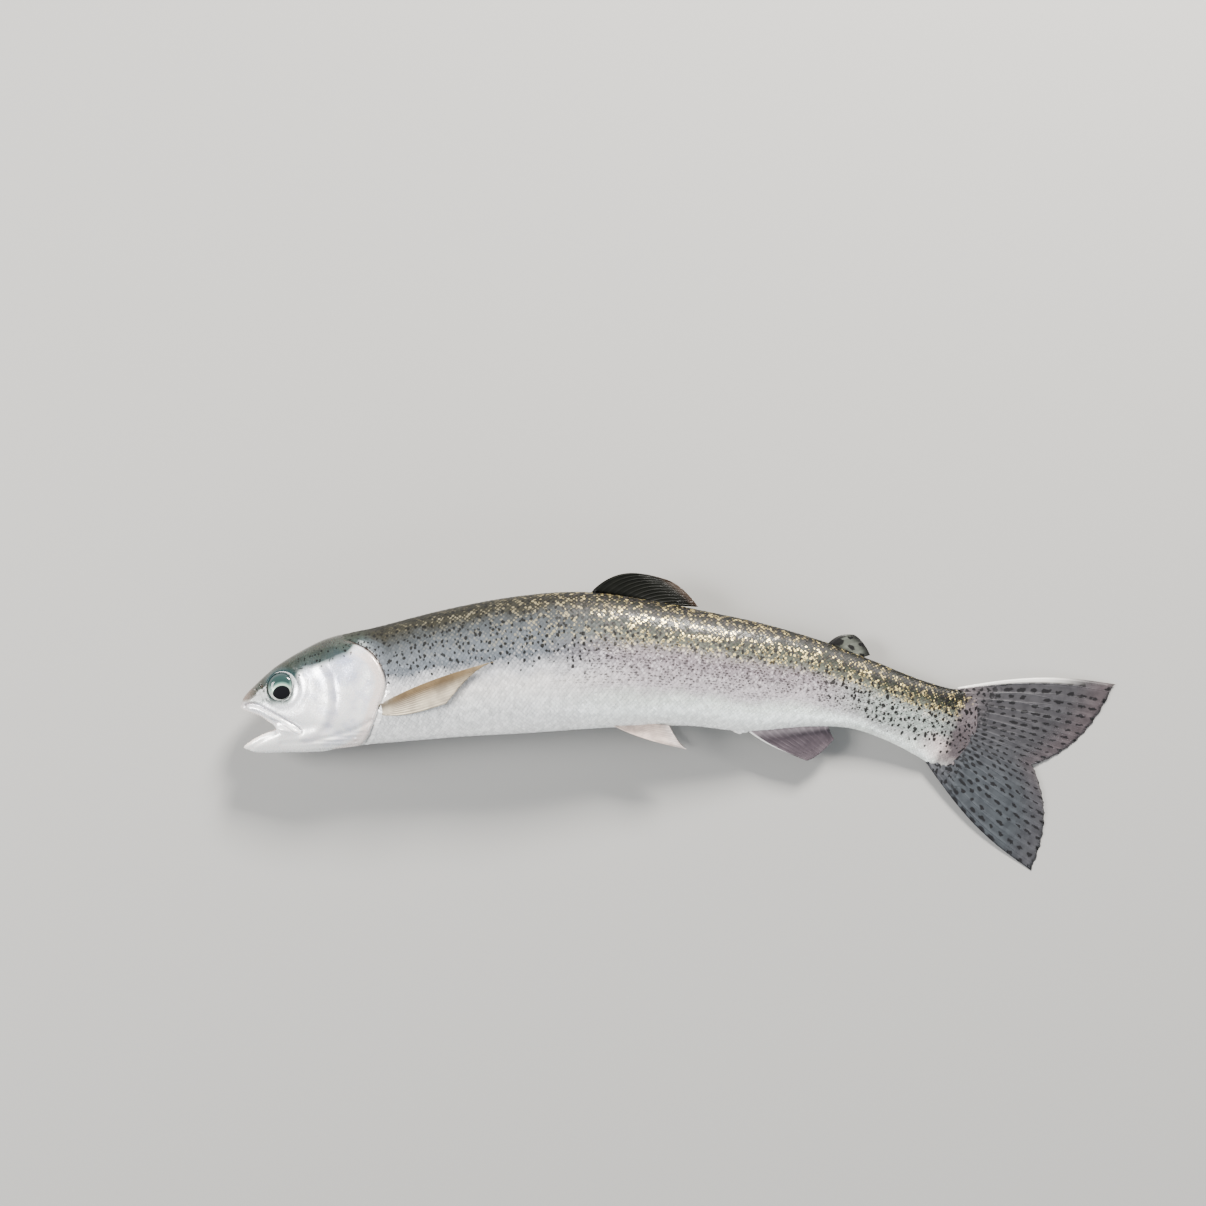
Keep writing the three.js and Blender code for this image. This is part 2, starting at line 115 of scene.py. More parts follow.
# s, back, belly, level of the widest line, half width, fullness of the side above and below that line
BODY_SECTIONS = [
    (0.6, 3.2, 1.9, 2.5, 0.9, 2, 2),
    (1.8, 5.3, 0.9, 2.4, 2.7, 2.1, 2),
    (3.5, 6.8, 0.1, 2.2, 4.1, 2.2, 2),
    (6.5, 8.7, -1.7, 1.6, 5.4, 2.3, 2.1),
    (10, 10.8, -5.4, 0.2, 6.5, 2.5, 2.3),
    (14.5, 13.2, -8.8, -1.6, 7.5, 2.6, 2.4),
    (23, 16.2, -13.2, -3, 9.2, 2.5, 2.4),
    (32, 18.4, -17, -2.6, 10.9, 2.3, 2.3),
    (41, 18.8, -18.4, -2, 11.8, 2.2, 2.2),
    (50, 18.8, -19.6, -1.5, 12.2, 2.1, 2.2),
    (70, 20, -21.7, -1.2, 12.8, 2.05, 2.2),
    (92, 21.1, -23.4, -1, 13.4, 2.05, 2.2),
    (112, 21.3, -23.3, -0.8, 13.1, 2.05, 2.15),
    (133, 19.3, -21.8, -0.6, 11.9, 2.05, 2.1),
    (150, 17.8, -20, -0.4, 10.6, 2, 2),
    (169, 16.7, -19, 0, 8.8, 2, 1.9),
    (190, 14.7, -13.6, 0.5, 6.6, 2, 2),
    (204, 13, -10.8, 0.9, 5.3, 2, 2.1),
    (218, 12.1, -10.8, 1, 4.3, 2.1, 2.1),
    (229, 12.9, -11.7, 1, 3.2, 2.1, 2.1),
    (236, 14.6, -12.6, 1, 1.5, 2.1, 2.1),
    (240, 15.9, -14, 1, 0.85, 2.1, 2.1),
    (246, 17.4, -15.8, 1, 0.12, 2.1, 2.1),
]
JAW_SECTIONS = [
    (-1.2, -10.1, -10.8, -10.4, 0.6, 2, 2),
    (-0.5, -9.6, -11.3, -10.4, 1.8, 2, 2),
    (0.7, -9, -12, -10.3, 3.0, 2.1, 2),
    (2.6, -8.1, -12.9, -10, 4.1, 2.3, 2),
    (6, -6.9, -13.8, -9.4, 5.1, 2.5, 2),
    (12, -6.4, -14.9, -9, 6.6, 2.5, 2),
    (20, -7, -16.4, -10.2, 8, 2.3, 2.1),
    (27, -8, -17, -11.6, 8.6, 2.1, 2.2),
    (34, -9.5, -16.4, -13, 7, 2, 2.2),
]
SPINE_HEADING = [(0, 12), (50, 12), (95, 5.5), (120, -1.5), (145, -7), (190, -13), (230, -23), (290, -24)]
RESTING_HEIGHT = [
    (-2, 10.9), (50, 11.8), (92, 13), (112, 12.7), (150, 10.2), (190, 6.2), (218, 3.9), (236, 2.4),
    (258, 1.2), (281, 0.3), (290, 0.3),
]
SNOUT_S, TAIL_S = 0.6, 245.5
COAT_DEPTH = 0.28  # the skin lies this far inside the scales' tops


def smooth_rows(rows):
    """A smooth curve through rows of (place, value, value...), sloped by each row's neighbours."""
    rows = np.array(rows, float)
    at, value = rows[:, 0], rows[:, 1:]
    before, after = np.r_[0, : len(at) - 1], np.r_[1 : len(at), len(at) - 1]
    slope = (value[after] - value[before]) / (at[after] - at[before])[:, None]

    def curve(place):
        place = np.asarray(place, float)
        i = np.clip(np.searchsorted(at, place, side="right") - 1, 0, len(at) - 2)
        step = at[i + 1] - at[i]
        t = np.clip((place - at[i]) / step, 0, 1)[..., None]
        step = step[..., None]
        ends = (2 * t**3 - 3 * t**2 + 1) * value[i] + (3 * t**2 - 2 * t**3) * value[i + 1]
        return ends + step * ((t**3 - 2 * t**2 + t) * slope[i] + (t**3 - t**2) * slope[i + 1])

    return curve


body_section = smooth_rows(BODY_SECTIONS)
jaw_section = smooth_rows(JAW_SECTIONS)
heading_at = smooth_rows(SPINE_HEADING)
resting_height = smooth_rows(RESTING_HEIGHT)

SPINE_STEP = 0.5
spine_s = np.arange(0, 300 + SPINE_STEP / 2, SPINE_STEP)
spine_turn = np.radians(heading_at(spine_s[:-1] + SPINE_STEP / 2)[:, 0])
spine_run = SPINE_STEP * np.stack([np.cos(spine_turn), np.sin(spine_turn)], 1)
spine = np.vstack([[0, 0], np.cumsum(spine_run, 0)])


def bent(places):
    """Straight places (..., 3) bent into the resting pose, still with the snout at the origin."""
    s, n, b = np.moveaxis(places, -1, 0)
    turn = np.radians(heading_at(np.maximum(s, 0))[..., 0])
    ahead = np.minimum(s, 0)
    x = np.interp(s, spine_s, spine[:, 0]) + ahead * np.cos(turn) - n * np.sin(turn)
    y = np.interp(s, spine_s, spine[:, 1]) + ahead * np.sin(turn) + n * np.cos(turn)
    return np.stack([x, y, resting_height(s)[..., 0] + b], -1)


EYE = (16.2, 5.9, 5.0)
EYE_RADIUS, EYE_DEPTH = 4.9, 3.2
low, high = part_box("eye_left")
to_frame = np.array((low + high) / 2) / MM - bent(np.array(EYE))
to_frame[2] = 0


def laid(places, clearance):
    """Bends straight places, moves them to the frame and presses them flat at the floor."""
    posed = bent(places) + to_frame
    drop = posed[..., 2] - clearance
    posed[..., 2] = clearance + (drop + np.hypot(drop, clearance)) / 2
    return posed


def section_at(section, s, n):
    """How far up or down from its widest line a section is met, that way's length, half width, fullness."""
    back, belly, level, half, back_full, belly_full = np.moveaxis(section(s), -1, 0)
    above = n > level
    reach = np.where(above, back - level, level - belly)
    return (n - level) / reach, reach, half, np.where(above, back_full, belly_full)


def section_distance(section, s, n, b):
    """Roughly the distance to a run of sections, negative inside."""
    rise, reach, half, power = section_at(section, s, n)
    rise = np.maximum(np.abs(rise), 1e-3)
    out = np.maximum(np.abs(b) / half, 1e-3)
    round_ = (rise**power + out**power) ** (1 / power)
    steep = round_ ** (1 - power) * np.hypot(rise ** (power - 1) / reach, out ** (power - 1) / half)
    return (round_ - 1) / steep


def ball_distance(middle, halves, s, n, b):
    """Roughly the distance to an oval ball, negative inside."""
    q = [(place - m) / half for place, m, half in zip((s, n, b), middle, halves)]
    length = np.sqrt(q[0] ** 2 + q[1] ** 2 + q[2] ** 2) + 1e-6
    steep = np.sqrt(sum((part / half) ** 2 for part, half in zip(q, halves))) / length
    return (length - 1) / (steep + 1e-6)


def mix(a, b, share):
    """a turning into b, as a share goes from 0 to 1."""
    return a + (b - a) * share


def joined(a, b, soft):
    """Smooth union of two distances."""
    share = np.clip(0.5 + (b - a) / (2 * soft), 0, 1)
    return b + (a - b) * share - soft * share * (1 - share)


def cut(a, b, soft):
    """Distance a with b taken out of it, smoothly."""
    return -joined(-a, b, soft)


def ease(low, high, value):
    """0 below low to 1 above high, smoothly."""
    t = np.clip((value - low) / (high - low), 0, 1)
    return t * t * (3 - 2 * t)


def rounded(corners, steps=4):
    """A closed outline through the corners, rounded between them."""
    p = np.array(corners, float)
    before, after, beyond = np.roll(p, 1, 0), np.roll(p, -1, 0), np.roll(p, -2, 0)
    t = (np.arange(steps) / steps)[:, None, None]
    run = 2 * p + t * (after - before) + t**2 * (2 * before - 5 * p + 4 * after - beyond)
    run = (run + t**3 * (3 * p - before - 3 * after + beyond)) / 2
    return np.swapaxes(run, 0, 1).reshape(-1, 2)


def line_distance(corners, s, n, closed=False):
    """Distance to a line of corners in the side view; negative inside when it is closed."""
    ends = zip(corners, np.roll(corners, -1, 0)) if closed else zip(corners[:-1], corners[1:])
    nearest, inside = np.inf, False
    for (s0, n0), (s1, n1) in ends:
        ds, dn = s1 - s0, n1 - n0
        t = np.clip(((s - s0) * ds + (n - n0) * dn) / (ds * ds + dn * dn), 0, 1)
        nearest = np.minimum(nearest, np.hypot(s - s0 - t * ds, n - n0 - t * dn))
        if dn:
            inside = inside ^ (((n0 > n) != (n1 > n)) & (s < s0 + (n - n0) * ds / dn))
    return np.where(inside, -nearest, nearest) if closed else nearest


def ridge(distance, width):
    """1 on a line, fading out to each side of it."""
    return np.exp(-((distance / width) ** 2))


GAPE = np.array([(-6, 2.6), (0.4, 1.9), (2.8, 0.4), (6.5, -1.7), (8.2, -3.4), (9.8, -5.8), (6, -7),
                 (2.6, -8.1), (0, -9.1), (-6, -10)])
MOUTH, MOUTH_HALVES = (12, -4.8, 0), (12, 6.4, 4.8)
MAXILLA = rounded([(3, 2.6), (6.6, 2), (10.6, -0.9), (14.6, -4), (18.6, -7.6), (18.8, -10), (16.8, -10.8),
                   (14.2, -9.4), (10.2, -6), (7.8, -2.6), (4.4, -0.3)])
HEAD_SIDE = rounded([(33, 26), (37, 17.5), (41, 14.9), (45, 12.2), (47.9, 8.1), (49.2, 3), (48.6, -1),
                     (45.6, -5.8), (42.6, -10.6), (38.6, -15.6), (33, -18.4), (26, -20), (10, -30),
                     (-20, -30), (-20, 30)])
PREOPERCLE = np.array([(31.5, 11), (33.4, 6), (33.2, 0), (31.6, -5), (28.6, -9), (24.5, -11.4), (20, -12)])
THROAT_FOLD = np.array([(12, -11.4), (21.6, -12.8), (30.2, -12.5), (37.4, -11.8), (42.5, -10.2)])
CHEEK_RING = np.array([(9.5, 2.5), (12, -0.6), (16, -2.2), (20.8, -1.4), (24.6, 2.4), (25.4, 7), (23.6, 11)])
HEAD_LINES = [  # line, how far it stands out, width
    (PREOPERCLE, -0.2, 1.1), (PREOPERCLE - (2.2, 0), 0.14, 1.6), (THROAT_FOLD, -0.34, 0.75),
    (CHEEK_RING, -0.06, 1.0),
]
NOSTRILS = [(7.5, 7.0, 0.42), (9.3, 7.8, 0.55)]  # s, n, radius
COVER_RISE, COVER_REACH, FLAP_THINNING, SLIT_DEPTH, SLIT_WIDTH = 0.5, 8, 0.16, 0.75, 0.5
PLATE_RISE, PLATE_GROOVE = 0.5, 0.38
LIP_RISE, BROW_RISE, LUMP_RISE = 0.2, 0.3, 0.15
SOCKET_GRIP = 0.14  # the socket is this much tighter than the ball
BARE_INSET = 0.05  # the bare head lies this far inside the plain form
# how softly forms run into each other: jaw and head, more at the throat, and the edges of the openings
JAW_SOFT, THROAT_SOFT, LIP_SOFT, MOUTH_SOFT, SOCKET_SOFT, VENT_SOFT = 0.7, 1.5, 0.8, 0.5, 0.3, 0.8
TAIL_ROOT_BOW = 0.02
VENT, VENT_RADIUS = (167, -18.9), 0.9
MAXILLA_MIDDLE = np.array([(3, 1.1), (9, -1.9), (12.4, -3.8), (16.4, -7.4), (18.7, -10)])
UNDER_MAXILLA = np.array([(12, -6.4), (15, -7.3), (19, -8.2), (22, -9.2)])


def upper_edge(s, n):
    """1 above the middle of the upper jaw's plate, 0 below it."""
    return ease(-0.7, 0.7, n - np.interp(s, *MAXILLA_MIDDLE.T))


def relief(s, n):
    """How far the side of the head stands out over its plain form, at a place in the side view."""
    behind = line_distance(HEAD_SIDE, s, n, closed=True)
    shut = 1 - ease(13.5, 17.5, n)
    flap = FLAP_THINNING * ease(-2.6, -1.2, behind)
    cover = COVER_RISE * np.exp(np.minimum(behind, 0) / COVER_REACH) - flap
    cover *= 1 - ease(-0.1, 0.3, behind)
    slit = SLIT_DEPTH * ridge(behind - 0.62, SLIT_WIDTH)
    rise = (cover - slit) * shut
    blade = line_distance(MAXILLA, s, n, closed=True)
    upper = upper_edge(s, n)
    plate = mix(1 - ease(-2.2, 1.4, blade), 1 - ease(-0.9, 0.1, blade), upper)
    rise += PLATE_RISE * plate - PLATE_GROOVE * upper * ridge(blade - 0.35, 0.45)
    bridged = ridge(line_distance(UNDER_MAXILLA, s, n), 1.3) * (1 - ease(-1.2, 0.2, blade))
    rise += mix(1.35, 0.6, ease(13, 19, s)) * bridged
    for line, height, width in HEAD_LINES:
        rise += height * ridge(line_distance(line, s, n), width)
    fan = ease(-11.5, -14, n) * ease(20, 26, s) * (1 - ease(-1.2, -0.2, behind))
    rise += 0.1 * fan * np.sin((n + 0.22 * s) * 4.2)
    lip = line_distance(GAPE, s, n, closed=True)
    rise += LIP_RISE * ridge(lip - 0.8, 0.55) - 0.16 * ridge(lip - 2.3, 0.5) * ease(-6, -7.5, n)
    round_eye = np.hypot(s - EYE[0], n - EYE[1])
    over_eye = ease(-0.2, 0.9, (n - EYE[1]) / (round_eye + 0.1))
    rise += (0.08 + BROW_RISE * over_eye) * ridge(round_eye - 5.5, 0.7) - 0.06 * ridge(round_eye - 6.9, 0.7)
    lumps = np.sin(0.55 * s + 0.8 * np.sin(0.31 * n)) * np.sin(0.47 * n + 1.3 * np.sin(0.21 * s))
    rise += LUMP_RISE * lumps * ease(20, 25, s) * (1 - ease(-4, -2, behind))
    for nostril_s, nostril_n, radius in NOSTRILS:
        hole = np.hypot(s - nostril_s, n - nostril_n)
        rise += 0.2 * ridge(hole - radius - 0.3, 0.28) - 1.0 * ridge(hole, radius * 0.8)
    return rise


def eye_distance(s, n, b):
    """Distance to the eyeball, which has a flatter front than a round ball."""
    rise, out = np.hypot(s - EYE[0], n - EYE[1]) / EYE_RADIUS, (b - EYE[2]) / EYE_DEPTH
    steep = np.hypot(4 * rise**3 / EYE_RADIUS, 2 * out / EYE_DEPTH)
    return (rise**4 + out**2 - 1) / np.maximum(steep, 0.25)


def outer_form(s, n, b):
    """The closed form of the whole fish, as if its mouth, eyes and gill slits were filled."""
    trunk_ends = np.maximum(SNOUT_S - s, s - TAIL_S + TAIL_ROOT_BOW * (n - 1) ** 2)
    trunk = np.maximum(section_distance(body_section, s, n, b), trunk_ends)
    jaw_ends = np.maximum(JAW_SECTIONS[0][0] - s, s - JAW_SECTIONS[-1][0])
    jaw = np.maximum(section_distance(jaw_section, s, n, b), jaw_ends)
    return joined(trunk, jaw, JAW_SOFT + THROAT_SOFT * ease(15, 22, s))


def skin_field(s, n, b):
    """Distance to the skin, negative inside the flesh."""
    form = outer_form(s, n, b)
    scaled = ease(-0.5, 2.5, line_distance(HEAD_SIDE, s, n, closed=True))
    half = body_section(s)[..., 3]
    sideways = ease(0.12, 0.4, np.abs(b) / half)
    form = form + COAT_DEPTH * scaled + BARE_INSET * (1 - scaled) - relief(s, n) * sideways
    form = cut(form, line_distance(GAPE, s, n, closed=True), LIP_SOFT)
    form = cut(form, ball_distance(MOUTH, MOUTH_HALVES, s, n, b), MOUTH_SOFT)
    form = cut(form, eye_distance(s, n, np.abs(b)) + SOCKET_GRIP, SOCKET_SOFT)
    vent = np.sqrt((s - VENT[0]) ** 2 / 6 + (n - VENT[1]) ** 2 + b**2)
    return joined(form, vent - VENT_RADIUS, VENT_SOFT)


def surface_of(field, axes):
    """Surface nets: a vertex in each grid cell that the surface crosses, a face round each crossed edge."""
    inside = field < 0
    corner = np.array([(i, j, k) for i in (0, 1) for j in (0, 1) for k in (0, 1)])
    size = np.array(field.shape) - 1
    windows = [tuple(slice(first, first + run) for first, run in zip(c, size)) for c in corner]
    count = sum(inside[window].astype(np.int8) for window in windows)
    crossed = (count > 0) & (count < 8)
    cells = np.argwhere(crossed)
    values = np.stack([field[tuple((cells + c).T)] for c in corner], 1)
    total, found = np.zeros(cells.shape), np.zeros(len(cells))
    for a in range(8):
        for step in (1, 2, 4):
            if a & step:
                continue
            va, vb = values[:, a], values[:, a | step]
            hit = (va < 0) != (vb < 0)
            t = np.where(hit, va / np.where(hit, va - vb, 1), 0)
            total += hit[:, None] * (corner[a] + t[:, None] * (corner[a | step] - corner[a]))
            found += hit
    index = cells + total / found[:, None]
    places = np.stack([np.interp(index[:, i], np.arange(len(axes[i])), axes[i]) for i in range(3)], 1)
    number = np.full(size, -1)
    number[tuple(cells.T)] = np.arange(len(cells))
    faces = []
    for axis in range(3):
        first = np.moveaxis(inside, axis, 0)[:-1]
        second = np.moveaxis(inside, axis, 0)[1:]
        edges = np.argwhere(np.moveaxis(first != second, 0, axis))
        u, v = np.eye(3, dtype=int)[(axis + 1) % 3], np.eye(3, dtype=int)[(axis + 2) % 3]
        ring = [number[tuple((edges - du * u - dv * v).T)] for du, dv in ((1, 1), (0, 1), (0, 0), (1, 0))]
        quads = np.stack(ring, 1)
        leaving = inside[tuple(edges.T)]
        quads[~leaving] = quads[~leaving, ::-1]
        faces.append(quads)
    return places, np.vstack(faces)


def dropped(places, field, reach=0.15):
    """Moves places down their field's slope to its surface."""
    here = field(*places.T)
    step = 0.04
    slope = np.stack([(field(*(places + step * axis).T) - here) / step for axis in np.eye(3)], 1)
    steep = np.maximum((slope**2).sum(1), 0.3)
    return places - slope * np.clip(here / steep, -reach, reach)[:, None]


def settled(places, faces, field, rounds=2):
    """Evens a mesh out and drops it back on the surface of its field."""
    edges = np.vstack([faces[:, [i, (i + 1) % 4]] for i in range(4)])
    near = np.bincount(edges[:, 0], minlength=len(places))[:, None]
    for _ in range(rounds):
        mean = [np.bincount(edges[:, 0], places[edges[:, 1], i], len(places)) for i in range(3)]
        places = dropped((places + np.stack(mean, 1) / near) / 2, field)
    return places


HEAD_STEP, TRUNK_STEP, SIDE_STEP = ((0.34, 1.3, 0.4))
HEAD_GRID, TRUNK_GRID, RISE_GRID, SIDE_GRID = (-2.6, 51), (51, 246.5), (-25.6, 24), (-15.2, 15.3)
RISE_SHIFT, SIDE_SHIFT = 0.07, 0.03  # keep the grid off the fish's middle plane
grid = [
    np.r_[np.arange(*HEAD_GRID, HEAD_STEP), np.arange(*TRUNK_GRID, TRUNK_STEP)],
    np.arange(*RISE_GRID, SIDE_STEP) + RISE_SHIFT,
    np.arange(*SIDE_GRID, SIDE_STEP) + SIDE_SHIFT,
]
grid_s, grid_n, grid_b = np.meshgrid(*grid, indexing="ij", sparse=True)
skin_places, skin_faces = surface_of(skin_field(grid_s, grid_n, grid_b), grid)
skin_places = settled(skin_places, skin_faces, skin_field)

# where the pale side of the head gives way to its dark top: s, n
head_shade_line = smooth_rows([
    (-2, 5), (2.7, 4.2), (6, 3.3), (9.7, 2.6), (12, 1.6), (16, 0.8), (19, 2.4), (21, 7.6), (23.6, 10.4),
    (28, 10.6), (33.7, 11), (39.6, 12.4), (43, 14.6), (47, 13.8), (60, 9.5),
])
ROUND_SECTIONS, ROUND_STEPS = 260, 181
FLANK_APART = 40  # moves one flank's markings away from the other's


def section_outline(s, steps):
    """The left flank's half outline at each s, from belly to back: its n, its b and its length so far."""
    back, belly, level, half, back_full, belly_full = body_section(s).T[..., None]
    turn = np.radians(np.linspace(-90, 90, steps))
    power = 2 / np.where(turn > 0, back_full, belly_full)
    reach = np.where(turn > 0, back - level, level - belly)
    n = level + reach * np.sign(turn) * np.abs(np.sin(turn)) ** power
    b = half * np.cos(turn) ** power
    length = np.cumsum(np.hypot(np.diff(n, axis=1), np.diff(b, axis=1)), 1)
    return n, b, np.hstack([np.zeros((len(s), 1)), length])


def round_of(places):
    """Where places lie on the coat: along the fish, round the flank from its widest line, and which flank."""
    s, n, b = places.T
    first, last = BODY_SECTIONS[0][0], BODY_SECTIONS[-1][0]
    length = section_outline(np.linspace(first, last, ROUND_SECTIONS), ROUND_STEPS)[2]
    length -= length[:, [ROUND_STEPS // 2]]
    rise, _, half, full = section_at(body_section, s, n)
    angle = np.degrees(np.arctan2(np.abs(rise) ** (full / 2), (np.abs(b) / half) ** (full / 2)))
    angle *= np.sign(rise)
    row = np.clip((s - first) / (last - first), 0, 1 - 1e-6) * (ROUND_SECTIONS - 1)
    column = np.clip(angle + 90, 0, ROUND_STEPS - 1 - 1e-3)
    i, j = row.astype(int), column.astype(int)
    near = mix(length[i, j], length[i, j + 1], column - j)
    far = mix(length[i + 1, j], length[i + 1, j + 1], column - j)
    return np.stack([s, mix(near, far, row - i), np.sign(b) * FLANK_APART], 1)


def shade_of(s, n):
    """0 at the white belly to 1 along the dark back; the side of the head turns dark at its own line."""
    section = body_section(np.maximum(s, SNOUT_S))
    back, belly = section[..., 0], np.minimum(section[..., 1], -7 - np.clip(s, 0, 20) * 0.4)
    share = np.clip((n - belly) / (back - belly), 0, 1)
    line = head_shade_line(s)[..., 0]
    under = 0.5 * np.clip((n - belly) / (line - belly), 0, 1)
    over = 0.72 + 0.28 * np.clip((n - line) / (back - line), 0, 1)
    headed = under + (over - under) * ease(-2.2, 1.6, n - line)
    return headed + (share - headed) * ease(42, 52, s)


def make_piece(name, places, faces, material):
    """A smooth mesh object from places in millimetres."""
    mesh = bpy.data.meshes.new(name)
    faces = faces.tolist() if isinstance(faces, np.ndarray) else faces
    mesh.from_pydata((np.asarray(places) * MM).tolist(), [], faces)
    mesh.materials.append(material)
    mesh.polygons.foreach_set("use_smooth", [True] * len(mesh.polygons))
    return set_out(name, mesh)


def note(made, **notes):
    """Stores a number or a vector for each vertex of a piece, under each note's name."""
    for name, values in notes.items():
        kind, field = ("FLOAT", "value") if values.ndim == 1 else ("FLOAT_VECTOR", "vector")
        stored = made.data.attributes.new(name, kind, "POINT")
        stored.data.foreach_set(field, np.ascontiguousarray(values, dtype=np.float32).ravel())


def tint(red, green, blue):
    """A screen colour, 0 to 255 a channel, as the renderer's linear one."""
    channels = (((c / 255 + 0.055) / 1.055) ** 2.4 if c > 10 else c / 3295 for c in (red, green, blue))
    return (*channels, 1.0)


def fill(node, inputs):
    """Gives a node's inputs their numbers, or joins wires to them."""
    for socket, value in inputs.items():
        if isinstance(value, Wire):
            node.id_data.links.new(value.socket, node.inputs[socket])
        else:
            node.inputs[socket].default_value = value


def add_node(tree, kind, inputs, output=0, **settings):
    """Sets up a node and gives a wire from what it puts out."""
    made = tree.nodes.new(kind)
    for name, value in settings.items():
        setattr(made, name, value)
    fill(made, inputs)
    return Wire(made.outputs[output])


class Wire:
    """A value in a node tree: whatever is done with it adds a node and gives a new wire."""

    def __init__(self, socket):
        self.socket = socket

    def other(self, output):
        return Wire(self.socket.node.outputs[output])

    def into(self, kind, inputs, output=0, **settings):
        return add_node(self.socket.id_data, kind, inputs, output, **settings)

    def calc(self, operation, *values):
        return self.into("ShaderNodeMath", dict(enumerate((self, *values))), operation=operation)

    __add__, __sub__ = partialmethod(calc, "ADD"), partialmethod(calc, "SUBTRACT")
    __mul__, __truediv__ = partialmethod(calc, "MULTIPLY"), partialmethod(calc, "DIVIDE")
    __abs__, __lt__ = partialmethod(calc, "ABSOLUTE"), partialmethod(calc, "LESS_THAN")
    __or__ = partialmethod(calc, "MAXIMUM")  # where either of two masks is

    def __rsub__(self, number):
        return self.into("ShaderNodeMath", {0: number, 1: self}, operation="SUBTRACT")

    def step(self, low, high, to_low=0.0, to_high=1.0):
        """The value mapped smoothly from low..high to to_low..to_high."""
        inputs = {"Value": self, "From Min": low, "From Max": high, "To Min": to_low, "To Max": to_high}
        return self.into("ShaderNodeMapRange", inputs, "Result", interpolation_type="SMOOTHSTEP")

    def vector(self, operation, *values):
        inputs = dict(enumerate((self, *values)))
        output = "Value" if operation in ("DISTANCE", "LENGTH") else "Vector"
        return self.into("ShaderNodeVectorMath", inputs, output, operation=operation)

    def parts(self):
        first = self.into("ShaderNodeSeparateXYZ", {0: self}, "X")
        return first, first.other("Y"), first.other("Z")

    def noise(self, scale, detail=2.0, output="Fac"):
        return self.into("ShaderNodeTexNoise", {"Vector": self, "Scale": scale, "Detail": detail}, output)

    def cells(self, scale, scatter):
        """How far a place is from the nearest cell's middle."""
        inputs = {"Vector": self, "Scale": scale, "Randomness": scatter}
        return self.into("ShaderNodeTexVoronoi", inputs, "Distance", voronoi_dimensions="2D")

    def ramp(self, stops):
        """Colours along a value: each stop is its place and its screen colour."""
        colour = self.into("ShaderNodeValToRGB", {0: self}, "Color")
        points = colour.socket.node.color_ramp.elements
        while len(points) < len(stops):
            points.new(1)
        for point, (place, *screen_colour) in zip(points, stops):
            point.position = place
            point.color = tint(*screen_colour)
        return colour

    def blend(self, a, b, mode="MIX"):
        """Colour a turning into colour b with this wire's mask."""
        return self.into("ShaderNodeMix", {"Factor": self, 6: a, 7: b}, 2, data_type="RGBA", blend_type=mode)

    def layered(self, *layers):
        """Lays screen colours over a colour, each by its mask, its strength and its mode."""
        colour = self
        for mask, strength, screen_colour, *mode in layers:
            colour = (mask * strength).blend(colour, tint(*screen_colour), *mode)
        return colour

    def brightened(self, factor):
        grey = self.into("ShaderNodeCombineColor", {0: factor, 1: factor, 2: factor})
        inputs = {"Factor": 1.0, 6: self, 7: grey}
        return self.into("ShaderNodeMix", inputs, 2, data_type="RGBA", blend_type="MULTIPLY")

    def bump(self, strength, depth):
        return self.into("ShaderNodeBump", {"Height": self, "Strength": strength, "Distance": depth})


def read(tree, name, output="Fac"):
    """What a piece's own note says at each place."""
    return add_node(tree, "ShaderNodeAttribute", {}, output, attribute_name=name)


def new_group(kind, name, inputs, outputs):
    """An empty node group: a socket's word is its kind, and its number or colour is what it starts at."""
    tree = bpy.data.node_groups.new(name, kind)
    for side, sockets in (("INPUT", inputs), ("OUTPUT", outputs)):
        for socket, value in sockets.items():
            held = value if isinstance(value, str) else "Color" if isinstance(value, tuple) else "Float"
            made = tree.interface.new_socket(socket, in_out=side, socket_type="NodeSocket" + held)
            if held != value:
                made.default_value = value
    entry = tree.nodes.new("NodeGroupInput")
    return tree, {name: Wire(entry.outputs[name]) for name in inputs}, tree.nodes.new("NodeGroupOutput")


def new_material(name):
    material = bpy.data.materials.new(name)
    material.use_nodes = True
    return material, material.node_tree, material.node_tree.nodes["Principled BSDF"]


# screen colours from the belly, at 0, to the ridge of the back, at 1
HEAD_COLOURS = [
    (0.0, 244, 243, 240), (0.3, 243, 243, 245), (0.52, 238, 239, 244), (0.63, 136, 143, 142),
    (0.72, 50, 61, 60), (0.86, 40, 46, 41), (1.0, 34, 36, 30),
]
FRONT_COLOURS = [
    (0.0, 249, 248, 245), (0.24, 245, 246, 245), (0.38, 242, 239, 236), (0.48, 206, 207, 211),
    (0.57, 96, 102, 109), (0.82, 54, 58, 61), (0.91, 34, 33, 26), (1.0, 14, 14, 10),
]
REAR_COLOURS = [
    (0.0, 249, 249, 245), (0.13, 241, 245, 239), (0.24, 226, 232, 224), (0.34, 207, 198, 202),
    (0.55, 155, 144, 150), (0.7, 80, 83, 74), (0.8, 30, 35, 25), (0.9, 14, 17, 11), (1.0, 6, 7, 5),
]
SEA_GREEN, PINK_BLOOM, TAIL_GREY = (150, 168, 158), (226, 202, 200), (88, 81, 84)
# colours of the painted glints on single scales: towards the head, towards the tail, and pale lower down
FRONT_GLINT, REAR_GLINT, PALE_GLINT = tint(186, 176, 146), tint(242, 218, 146), tint(246, 241, 244)
SPECK_BROWN, SPOT_BLACK = (50, 43, 43), tint(9, 9, 9)
SPOT_LAYERS = [(2.3, 0.0), (2.9, 31.0)]  # mean spacing, and a shift so that the layers differ
SPOT_RADIUS, SPOT_VARIETY = 0.15, 0.12  # in shares of the spacing
SPOT_STRETCH = (1.14, 0.86, 1)
BLUR = 0.04
